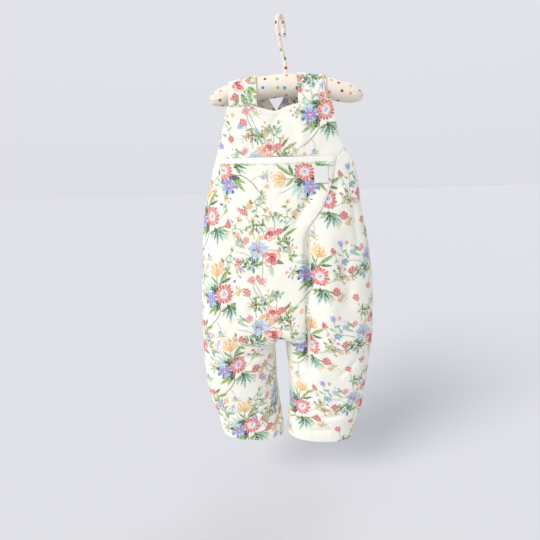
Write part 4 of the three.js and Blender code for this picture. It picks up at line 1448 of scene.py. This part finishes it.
def woven(name, pitch, roughness, sheen, dyed, relief=0.00025):
    """A plain weave whose colour comes from dyed(tree, place on the cloth), with painted shade
    where its threads dip.
    Its threads pass over and under each other, from 0 between them to 1 on top."""
    material, tree, shader = new_material(name)
    place = add_node(tree, "UVMap", uv_map="cloth").outputs["UV"]
    thread = {"Vector": place, "Scale": bands(pitch), "Distortion": 0.6}
    thread |= {"Detail": 1.0, "Detail Scale": 0.4}
    warp, weft = (
        add_node(tree, "TexWave", thread, bands_direction=way).outputs["Fac"] for way in ("X", "Y")
    )
    weave = add_node(tree, "Math", {0: warp, 1: weft}, operation="MAXIMUM")
    slubs = add_node(tree, "TexNoise", {"Vector": place, "Scale": 900, "Detail": 3})
    clouds = add_node(tree, "TexNoise", {"Vector": place, "Scale": 18, "Detail": 2})
    # painted shade: the colour darkens to 0.93 between the threads; faded is the cloth's own uneven
    # tone
    shade, faded = (
        add_node(tree, "MapRange", {"Value": value, **dict(zip(LIMITS, values))})
        for value, values in ((weave, (0.2, 1, 0.93, 1)), (clouds, (0.3, 0.7, 0.975, 1)))
    )
    depth = add_node(tree, "Math", {0: shade, 1: faded}, operation="MULTIPLY")
    colour = add_node(tree, "VectorMath", {0: dyed(tree, place), "Scale": depth}, operation="SCALE")
    rough = {"Value": slubs, "To Min": roughness - 0.08, "To Max": roughness + 0.08}
    height = add_node(tree, "Math", {0: weave, 1: slubs}, operation="ADD")
    connect(shader, {
        "Base Color": colour,
        "Roughness": add_node(tree, "MapRange", rough),
        "Normal": add_node(tree, "Bump", {"Height": height, "Distance": relief, "Strength": 0.7}),
        "Specular IOR Level": 0.25,
        "Sheen Weight": sheen,
        "Sheen Roughness": 0.5,
    })
    return material


def floral_cotton():
    """Plain-woven furnishing cotton, reactive-printed: matt, with a faint nap."""

    def dyed(tree, place):
        return add_node(tree, "Attribute", attribute_name="print")

    # its threads are 0.45 mm apart; they are drawn twice as coarse, or they would not show at all
    return woven("printed_cotton", 0.9, 0.82, 0.12, dyed)


def spotted_cotton(dyes):
    """Brushed cotton with printed spots over wadding: softer and more napped than the garment."""
    step, radius = 21, 3.0  # millimetres from spot to spot, and of a spot
    order = "crimson sky rose green orange crimson coral sage".split()

    def dyed(tree, place):
        scattered = {"Vector": place, "Scale": 1 / (step * MM), "Randomness": 0.45}
        spots = add_node(tree, "TexVoronoi", scattered, voronoi_dimensions="2D")
        edge = dict(zip(LIMITS, ((radius + 0.3) / step, (radius - 0.3) / step)))
        cover = add_node(tree, "MapRange", {"Value": spots, **edge})
        pick = add_node(tree, "SeparateColor", {"Color": spots.outputs["Color"]})
        spot = add_node(tree, "ValToRGB", {"Fac": pick})
        ramp = spot.color_ramp
        ramp.interpolation = "CONSTANT"
        while len(ramp.elements) < len(order):
            ramp.elements.new(1)
        for k, name in enumerate(order):
            ramp.elements[k].position = k / len(order)
            ramp.elements[k].color = (*getattr(dyes, name), 1)
        colours = {0: cover, 6: (*dyes.hanger, 1), 7: spot}
        return add_node(tree, "Mix", colours, data_type="RGBA").outputs[2]

    return woven("brushed_cotton", 0.8, 0.88, 0.25, dyed)


def label_tape(dyes):
    """Woven polyester satin tape: smoother, with a slight gloss across its fine ribs."""

    def dyed(tree, place):
        fine = {"Vector": place, "Scale": bands(1.4)}
        # painted shade: the tape darkens to 0.86 in bands between its fine ribs
        ribs = add_node(tree, "TexWave", fine, bands_direction="Y")
        colours = {0: ribs.outputs["Fac"], 6: (*dyes.tape, 1), 7: (*(0.86 * dyes.tape), 1)}
        return add_node(tree, "Mix", colours, data_type="RGBA").outputs[2]

    return woven("satin_tape", 0.7, 0.5, 0.1, dyed, 0.00015)


def sewing_thread(name, dye):
    """Spun polyester thread: two plies whose twist breaks its highlight, painted as darker diagonal
    bands in its colour.
    """
    material, tree, shader = new_material(name)
    place = add_node(tree, "TexCoord").outputs["Object"]
    fine = {"Vector": place, "Scale": bands(0.5)}
    twist = add_node(tree, "TexWave", fine, bands_direction="DIAGONAL")
    # painted shade: the colour darkens to 0.78 in the diagonal grooves between the plies
    plies = add_node(tree, "ValToRGB", {"Fac": twist.outputs["Fac"]})
    for element, share in zip(plies.color_ramp.elements, (0.78, 1)):
        element.color = (*(dye * share), 1)
    connect(shader, {"Base Color": plies, "Roughness": 0.55, "Sheen Weight": 0.1})
    return material


def matt_paint(dyes):
    """Matt emulsion on a smooth floor: no gloss, and the faintest roller texture."""
    material, tree, shader = new_material("matt_paint")
    place = add_node(tree, "TexCoord").outputs["Object"]
    roller = add_node(tree, "TexNoise", {"Vector": place, "Scale": 160, "Detail": 2})
    bump = add_node(tree, "Bump", {"Height": roller, "Distance": 0.0004, "Strength": 0.3})
    plain = {"Base Color": (*dyes.floor, 1), "Roughness": 0.9, "Specular IOR Level": 0.2}
    connect(shader, {"Normal": bump, **plain})
    return material


def finish_named(name, make, *values):
    """The material of that name, made the first time that it is asked for."""
    return bpy.data.materials.get(name) or make(*values)


# ---- dressing the pieces ------------------------------------------------------------------------
def settings(context):
    """The sizes in millimetres and the dyes as arrays, by their names."""
    lengths, colours = context.scene.dungarees_sizes, context.scene.dungarees_colours
    return SimpleNamespace(
        **{name: getattr(lengths, name) / MM for name in lengths.__annotations__},
        **{name: np.array(getattr(colours, name)) for name in colours.__annotations__},
    )


def area_of(points, cells):
    """Area of the cells of a grid of points in millimetres, in square metres."""
    across_cell = points[1:, 1:] - points[:-1, :-1]
    other = points[1:, :-1] - points[:-1, 1:]
    return 0.5 * (np.linalg.norm(np.cross(across_cell, other), axis=-1) * cells).sum() * MM * MM


def dress(name, faces, cells, facing, step, place, kit, keep=(), both_sides=False, band=None):
    """Makes a closed piece of printed cloth in place of its node."""
    points, quads, rim, source, outside = closed_cloth(*faces, cells, facing, step, *keep)
    cloth = np.stack([layer.ravel()[source] for layer in place], axis=1)
    dye = printed(name, *cloth.T, kit)
    if band:
        band(dye, source)
    if not both_sides:
        dye[outside:] = kit.wrong_side
    finish = finish_named("printed_cotton", floral_cotton)
    return add_mesh(f"cloth_{name}", points, quads, rim, finish, name, dye, cloth)


def declare(middle, cells, run, fall, rests_on):
    """Works out the cut that a cloth piece had, its width, length and area, but keeps none of it.
    """
    width, long = run * MM, fall * MM
    area = min(area_of(middle, cells), width * long)
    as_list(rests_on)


def row_at(face, normal, distance, at):
    """A line on the cloth, with its outward directions, where a distance is at. The distance
    changes down the columns."""
    pick = slice(None, None, -1 if distance[0, 0] > distance[-1, 0] else 1)
    return [
        np.array([
            [np.interp(at, distance[pick, j], values[pick, j, k]) for k in range(3)]
            for j in range(values.shape[1])
        ])
        for values in (face, normal)
    ]


def column_at(face, normal, distance, at):
    return row_at(*(values.swapaxes(0, 1) for values in (face, normal, distance)), at)


def sew_panel(node, wall, faces, rests_on, kit, stitching, keep=(), band=None, width=None):
    """Makes a panel of the body with its stitching (name, lines and thread), and works out its cut.
    keep has the rows and the columns that the coarse inside must have too."""
    step = round(kit.coarse / (kit.fine if wall.wall < 0 else kit.medium))
    place = wall.u, wall.v
    piece = dress(node, faces, wall.cells, -wall.wall, step, place, kit, keep, band=band)
    run = wall.run.max() if width is None else width
    stitches = topstitch(kit, *stitching)
    declare(wall.smooth, wall.cells, run, wall.fall[-1].max(), rests_on)


class Undoable:
    """Making pieces can be undone, and adjusted."""

    bl_options = {"REGISTER", "UNDO"}


class DUNGAREES_OT_front_sides(Undoable, bpy.types.Operator):
    """Makes the fronts of the two sides, each with the whole front of its leg"""

    bl_idname = "dungarees.front_sides"
    bl_label = "Front sides"

    def execute(self, context):
        kit = settings(context)
        for half in (-1, 1):
            wall = leg_wall(-1, half, kit.fine, kit.seam_gap / 2)
            row, column = wall.step
            faces = wall.faces(kit.cloth, FRONT_SEED + half, kit.hem_depth)
            lines = [row_at(faces[0], wall.normal, wall.above_hem, kit.hem_depth - HEM_STITCH)]
            name, beside = f"front_side_{side_of(half)}", ["front_centre", f"back_{side_of(half)}"]
            keep = (row + 2,), (column + 2 * half,)
            width = wall.run[-60].max()  # on a row of the leg, which has every column
            sew_panel(name, wall, faces, beside, kit, (name, lines), keep, width=width)
        return {"FINISHED"}


class DUNGAREES_OT_backs(Undoable, bpy.types.Operator):
    """Makes the two halves of the back"""

    bl_idname = "dungarees.backs"
    bl_label = "Backs"

    def execute(self, context):
        kit = settings(context)
        for half in (-1, 1):
            wall = leg_wall(1, half, kit.medium, kit.seam_gap / 2)
            row, column = wall.step
            faces = wall.faces(kit.cloth, BACK_SEED + half, kit.hem_depth)
            leg = slice(0, column + 1) if half < 0 else slice(column, None)
            layers = (values[:, leg] for values in (faces[0], wall.normal, wall.above_hem))
            lines = [
                row_at(*layers, kit.hem_depth - HEM_STITCH),
                row_at(faces[0], wall.normal, wall.fall, BACK_STITCH),
            ]
            name, keep = f"back_{side_of(half)}", ((row - 3,), (column + 2 * half,))
            sew_panel(name, wall, faces, list(STRAPS), kit, (name, lines), keep)
        return {"FINISHED"}


class DUNGAREES_OT_front_centre(Undoable, bpy.types.Operator):
    """Makes the front's centre panel: the bib, and what the pouch hides"""

    bl_idname = "dungarees.front_centre"
    bl_label = "Bib and centre front"

    def execute(self, context):
        kit = settings(context)
        gap = kit.seam_gap / 2
        levels = np.concatenate([
            spaced_levels(BIB_TOP, POUCH_HIDES, kit.fine, gap, end=False),
            np.linspace(POUCH_HIDES - 6, LEG_SEAM + CROTCH_CURVE + 5, HIDDEN_ROWS),
            crotch_levels(HIDDEN_SPACING, gap),
        ])
        wall = centre_wall(levels, kit.fine, gap)
        faces = wall.faces(kit.cloth, CENTRE_SEED)
        lines = [row_at(faces[0], wall.normal, wall.fall, BIB_STITCH)]
        sew_panel("front_centre", wall, faces, list(STRAPS), kit, ("bib", lines))
        return {"FINISHED"}


class DUNGAREES_OT_pouch(Undoable, bpy.types.Operator):
    """Makes the pouch pocket over the centre front, with the cloth's own edge along its mouth"""

    bl_idname = "dungarees.pouch"
    bl_label = "Pouch pocket"

    def execute(self, context):
        kit = settings(context)
        gap = kit.seam_gap / 2
        levels = levels_to_crotch(POUCH_TOP, kit.fine, gap, 1)
        below = np.clip(POUCH_CORNER - (levels[0] - levels), 0, POUCH_CORNER)
        inset = POUCH_CORNER - np.sqrt(POUCH_CORNER**2 - below**2)
        wall = centre_wall(levels, kit.fine, gap, inset)
        gapes = POUCH_MOUTH * np.sin(np.pi * wall.run / wall.run[:, -1:]) ** 2
        gapes = gapes * smooth(MOUTH_SHUT, POUCH_TOP, wall.smooth[..., 2])
        faces = wall.faces(kit.cloth, CENTRE_SEED, out=kit.cloth + SEAM_GAP + gapes)

        def selvedge(dye, source):
            """The plain woven edge, a line of painted shadow along the mouth's very edge, and the
            dashes printed beside it.
            """
            depth, run = wall.fall.ravel()[source], wall.u.ravel()[source]
            dye += (kit.selvedge - dye) * smooth(12.8, 11.8, depth)[:, None]
            # painted shadow: the last 1 to 2 mm of the mouth's edge darkens, for the shadow in the
            # gap as well as the edge threads
            dye += (kit.edge_thread_and_shadow - dye) * smooth(1.9, 0.9, depth)[:, None]
            dash = smooth(1.1, 0.3, np.abs(depth - 15 - 0.6 * np.sin(run / 2.2)) - 0.6)
            dash *= 0.25 + 0.6 * (np.sin(run / 3.4) > -0.1)
            dye += (kit.lime - dye) * dash[:, None]

        corner = column_at(faces[0], wall.normal, wall.to["right"], POUCH_STITCH)
        lines = [[line[:CORNER_ROWS] for line in corner]]
        pink = "pouch_corner", lines, SMALL_STITCH, "pink_thread", kit.pink
        sew_panel("pouch", wall, faces, ["front_centre"], kit, pink, band=selvedge)
        return {"FINISHED"}


class DUNGAREES_OT_straps(Undoable, bpy.types.Operator):
    """Makes the two straps, which lie over the hanger and cross on the back"""

    bl_idname = "dungarees.straps"
    bl_label = "Straps"

    def execute(self, context):
        kit = settings(context)
        thick, gap = kit.strap_cloth, kit.seam_gap / 2
        for name, (start, deep) in STRAPS.items():
            middle, offset, v = strap_middle(start, deep, thick, kit.fine * 1.15, gap)
            normal = outward(middle, -1)
            run, fall = arcs(middle, 1), arcs(middle, 0)
            back = run[:, -1:] - run
            side = np.minimum(run, back)
            edge = np.minimum(np.minimum(fall, fall[-1:] - fall), side)
            ripple = puckers(fall, np.abs(side - STRAP_STITCH), start / 20) * 1.2
            crown = -0.5 * nearest(side - STRAP_STITCH, 1.2)
            lift = normal * (thick / 2 + (ripple + crown - rolled(edge))[..., None])
            outer, inner = middle + lift, middle - lift
            cells = np.ones((len(middle) - 1, middle.shape[1] - 1), bool)
            place = np.broadcast_to(offset, run.shape), np.broadcast_to(v[:, None], run.shape)

            def piping(dye, source, back=back.ravel(), fall=fall.ravel()):
                """A wavering pink line that the print leaves along one edge of the right strap."""
                apart = np.abs(back[source] - 2.6 - 1.1 * np.sin(fall[source] / 4.5))
                dye += (kit.coral - dye) * (0.8 * smooth(0.9, 0.2, apart - 0.7))[:, None]

            band = piping if name == "strap_right" else None
            piece = dress(name, (outer, inner), cells, -1, 1, place, kit, (), True, band)
            lines = [
                column_at(face, out, near, STRAP_STITCH)
                for face, out in ((outer, normal), (inner, -normal))
                for near in (run, back)
            ]
            stitches = topstitch(kit, name, lines)
            declare(middle, cells, run.max(), fall.max(), ["hanger_pad"])
        return {"FINISHED"}


class DUNGAREES_OT_label(Undoable, bpy.types.Operator):
    """Makes the plain woven label sewn on the pouch"""

    bl_idname = "dungarees.label"
    bl_label = "Label"

    def execute(self, context):
        kit = settings(context)
        left, right, top, bottom = LABEL
        gap = kit.seam_gap / 2
        out = 1.5 * CLOTH + 2 * SEAM_GAP + LABEL_THICK / 2 + 0.4
        levels = top - spaced(top - bottom, 36, gap)[0]
        x = left + spaced(right - left, 32, gap)
        middle = on_wall(-1, x, levels[:, None])
        normal = outward(middle, 1)
        run, fall = arcs(middle, 1), arcs(middle, 0)
        back, up = run[:, -1:] - run, fall[-1:] - fall
        edge = np.minimum.reduce([run, back, fall, up])
        ripple = 0.25 * np.sin(fall / 7) * np.sin(run / 9)
        lift = out + ripple - 0.3 * nearest(edge - LABEL_STITCH, 1)
        middle = middle + normal * lift[..., None]
        half = normal * (LABEL_THICK / 2 - 0.4 * rolled(edge))[..., None]
        cells = np.ones(np.subtract(run.shape, 1), bool)
        points, quads, rim, source, _ = closed_cloth(middle + half, middle - half, cells, 1, 1)
        cloth = np.stack([run.ravel()[source], fall.ravel()[source]], axis=1)
        finish = finish_named("satin_tape", label_tape, kit)
        piece = add_mesh(
            "cloth_label", points, quads, rim, finish, "label", cloth=cloth
        )
        face, foot = middle + half, fall[-1].min()
        lines = [row_at(face, normal, fall, at) for at in (LABEL_STITCH, foot - LABEL_STITCH)]
        lines += [column_at(face, normal, near, LABEL_STITCH) for near in (run, back)]
        stitches = topstitch(kit, "label", lines, SMALL_STITCH)
        return {"FINISHED"}


def wrapped(name, rings, tips, along, round_it, beyond, facing, finish, node):
    """A closed body covered in cotton, from rings between two tips: how far each ring is along the
    cotton, how far each of its points is round it, and how far the tips are beyond."""
    points = np.concatenate([tips[:1], rings.reshape(-1, 3), tips[1:]])
    places = np.stack([np.repeat(along, rings.shape[1]), np.tile(round_it, len(rings))], axis=1)
    cloth = np.concatenate([[[along[0] - beyond, 0]], places, [[along[-1] + beyond, 0]]])
    quads, caps = (faces[:, ::facing] for faces in lofted(rings))
    return add_mesh(name, points, quads, caps, finish, node, cloth=cloth)


class DUNGAREES_OT_hanger(Undoable, bpy.types.Operator):
    """Makes the hanger: a padded bar in spotted cotton, and a hook wound with a strip of it"""

    bl_idname = "dungarees.hanger"
    bl_label = "Hanger"

    def execute(self, context):
        finish = finish_named("brushed_cotton", spotted_cotton, settings(context))
        rings, angle = pad_rings()
        tip_z = [BAR_Z - bar_drop(BAR_X + sign * BAR_HALF) for sign in (-1, 1)]
        tips = [(BAR_X - BAR_HALF + 0.4, 0, tip_z[0]), (BAR_X + BAR_HALF - 0.4, 0, tip_z[1])]
        round_it = (angle + 0.5 * np.pi) % (2 * np.pi) * BAR_RADIUS  # 0 at the seam underneath
        along = arcs(rings[:, 0, ::2], 0)
        pad = wrapped("padded_bar", rings, tips, along, round_it, 3, 1, finish, "hanger_pad")

        rings, line, forward, along = hook_rings()
        tips = [line[0] - forward[0] * HOOK_WIRE * 0.6, line[-1]]
        round_it = np.arange(rings.shape[1]) * 1.1
        wrapped("wound_hook", rings, tips, along, round_it, 0, -1, finish, "hanger_hook")
        return {"FINISHED"}


class DUNGAREES_OT_studio(Undoable, bpy.types.Operator):
    """Makes the camera, the soft lights and a plain pale floor"""

    bl_idname = "dungarees.studio"
    bl_label = "Studio"

    def execute(self, context):
        scene = context.scene

        def place(name, data):
            item = bpy.data.objects.new(name, data)
            scene.collection.objects.link(item)
            return item

        floor = bpy.data.meshes.new("studio_floor")
        ways = (-1, -1), (1, -1), (1, 1), (-1, 1)
        corners = [(x * FLOOR_REACH, y * FLOOR_REACH, FLOOR_LEVEL) for x, y in ways]
        floor.from_pydata(corners, [], [(0, 1, 2, 3)])
        floor.materials.append(finish_named("matt_paint", matt_paint, settings(context)))
        place("studio_floor", floor)

        world = bpy.data.worlds.new("studio_world")
        world.use_nodes = True
        tree = world.node_tree
        toward = add_node(tree, "TexCoord").outputs["Generated"]
        up = add_node(tree, "SeparateXYZ", {0: toward}).outputs["Z"]
        # the sky is a little dimmer at the horizon, where it meets the floor, and much dimmer
        # overhead, so that the lamps shape the folds
        bright = [
            add_node(tree, "MapRange", {"Value": up, **dict(zip(LIMITS, values))})
            for values in ((0, 0.3, 0.83, 0.87), (0.4, 0.8, 1, 0.6))
        ]
        strength = add_node(tree, "Math", dict(enumerate(bright)), operation="MULTIPLY")
        connect(tree.nodes["Background"], {"Color": (*linear("#f1f2f8"), 1), "Strength": strength})
        scene.world = world
        scene.view_settings.view_transform = "Standard"  # a dye shows as it was mixed
        # broad, distant lamps, so the floor is as bright far away as it is near
        for name, toward, energy, spread, tint in (
            ("key_window", (-0.95, -0.9, 0.95), 2.1, 30, "#fffdf8"),
            ("back_light", (0.5, 1, 0.9), 0.75, 50, "#f7f8ff"),
        ):
            data = bpy.data.lights.new(name, "SUN")
            data.energy, data.angle, data.color = energy, math.radians(spread), linear(tint)
            lamp = place(name, data)
            lamp.location = toward
            lamp.rotation_euler = Vector(toward).to_track_quat("Z", "Y").to_euler()

        lens = bpy.data.cameras.new("camera")
        lens.lens, lens.sensor_width = 27.2, 36
        camera = place("camera", lens)
        camera.location = CAMERA_AT
        camera.rotation_mode = "ZYX"
        camera.rotation_euler = [math.radians(degrees) for degrees in CAMERA_TURN]
        scene.camera = camera
        return {"FINISHED"}


class VIEW3D_PT_dungarees(bpy.types.Panel):
    """Lists the pieces, and the sizes and colours they are made with"""

    bl_label = "Dungarees"
    bl_category = "Dungarees"
    bl_space_type = "VIEW_3D"
    bl_region_type = "UI"

    def draw(self, context):
        for group in (context.scene.dungarees_sizes, context.scene.dungarees_colours):
            column = self.layout.column()
            for name in group.__annotations__:
                column.prop(group, name)
        for operator in OPERATORS:
            self.layout.operator(operator.bl_idname)


OPERATORS = (
    DUNGAREES_OT_studio,
    DUNGAREES_OT_front_centre,
    DUNGAREES_OT_front_sides,
    DUNGAREES_OT_backs,
    DUNGAREES_OT_pouch,
    DUNGAREES_OT_label,
    DUNGAREES_OT_straps,
    DUNGAREES_OT_hanger,
)
CLASSES = (DungareesSizes, DungareesColours, *OPERATORS, VIEW3D_PT_dungarees)


def register():
    for cls in CLASSES:
        bpy.utils.register_class(cls)
    bpy.types.Scene.dungarees_sizes = bpy.props.PointerProperty(type=DungareesSizes)
    bpy.types.Scene.dungarees_colours = bpy.props.PointerProperty(type=DungareesColours)


def unregister():
    del bpy.types.Scene.dungarees_sizes
    del bpy.types.Scene.dungarees_colours
    for cls in reversed(CLASSES):
        bpy.utils.unregister_class(cls)


def main():
    register()
    for operator in OPERATORS:
        group, name = operator.bl_idname.split(".")
        getattr(getattr(bpy.ops, group), name)()


if __name__ == "__main__":
    main()
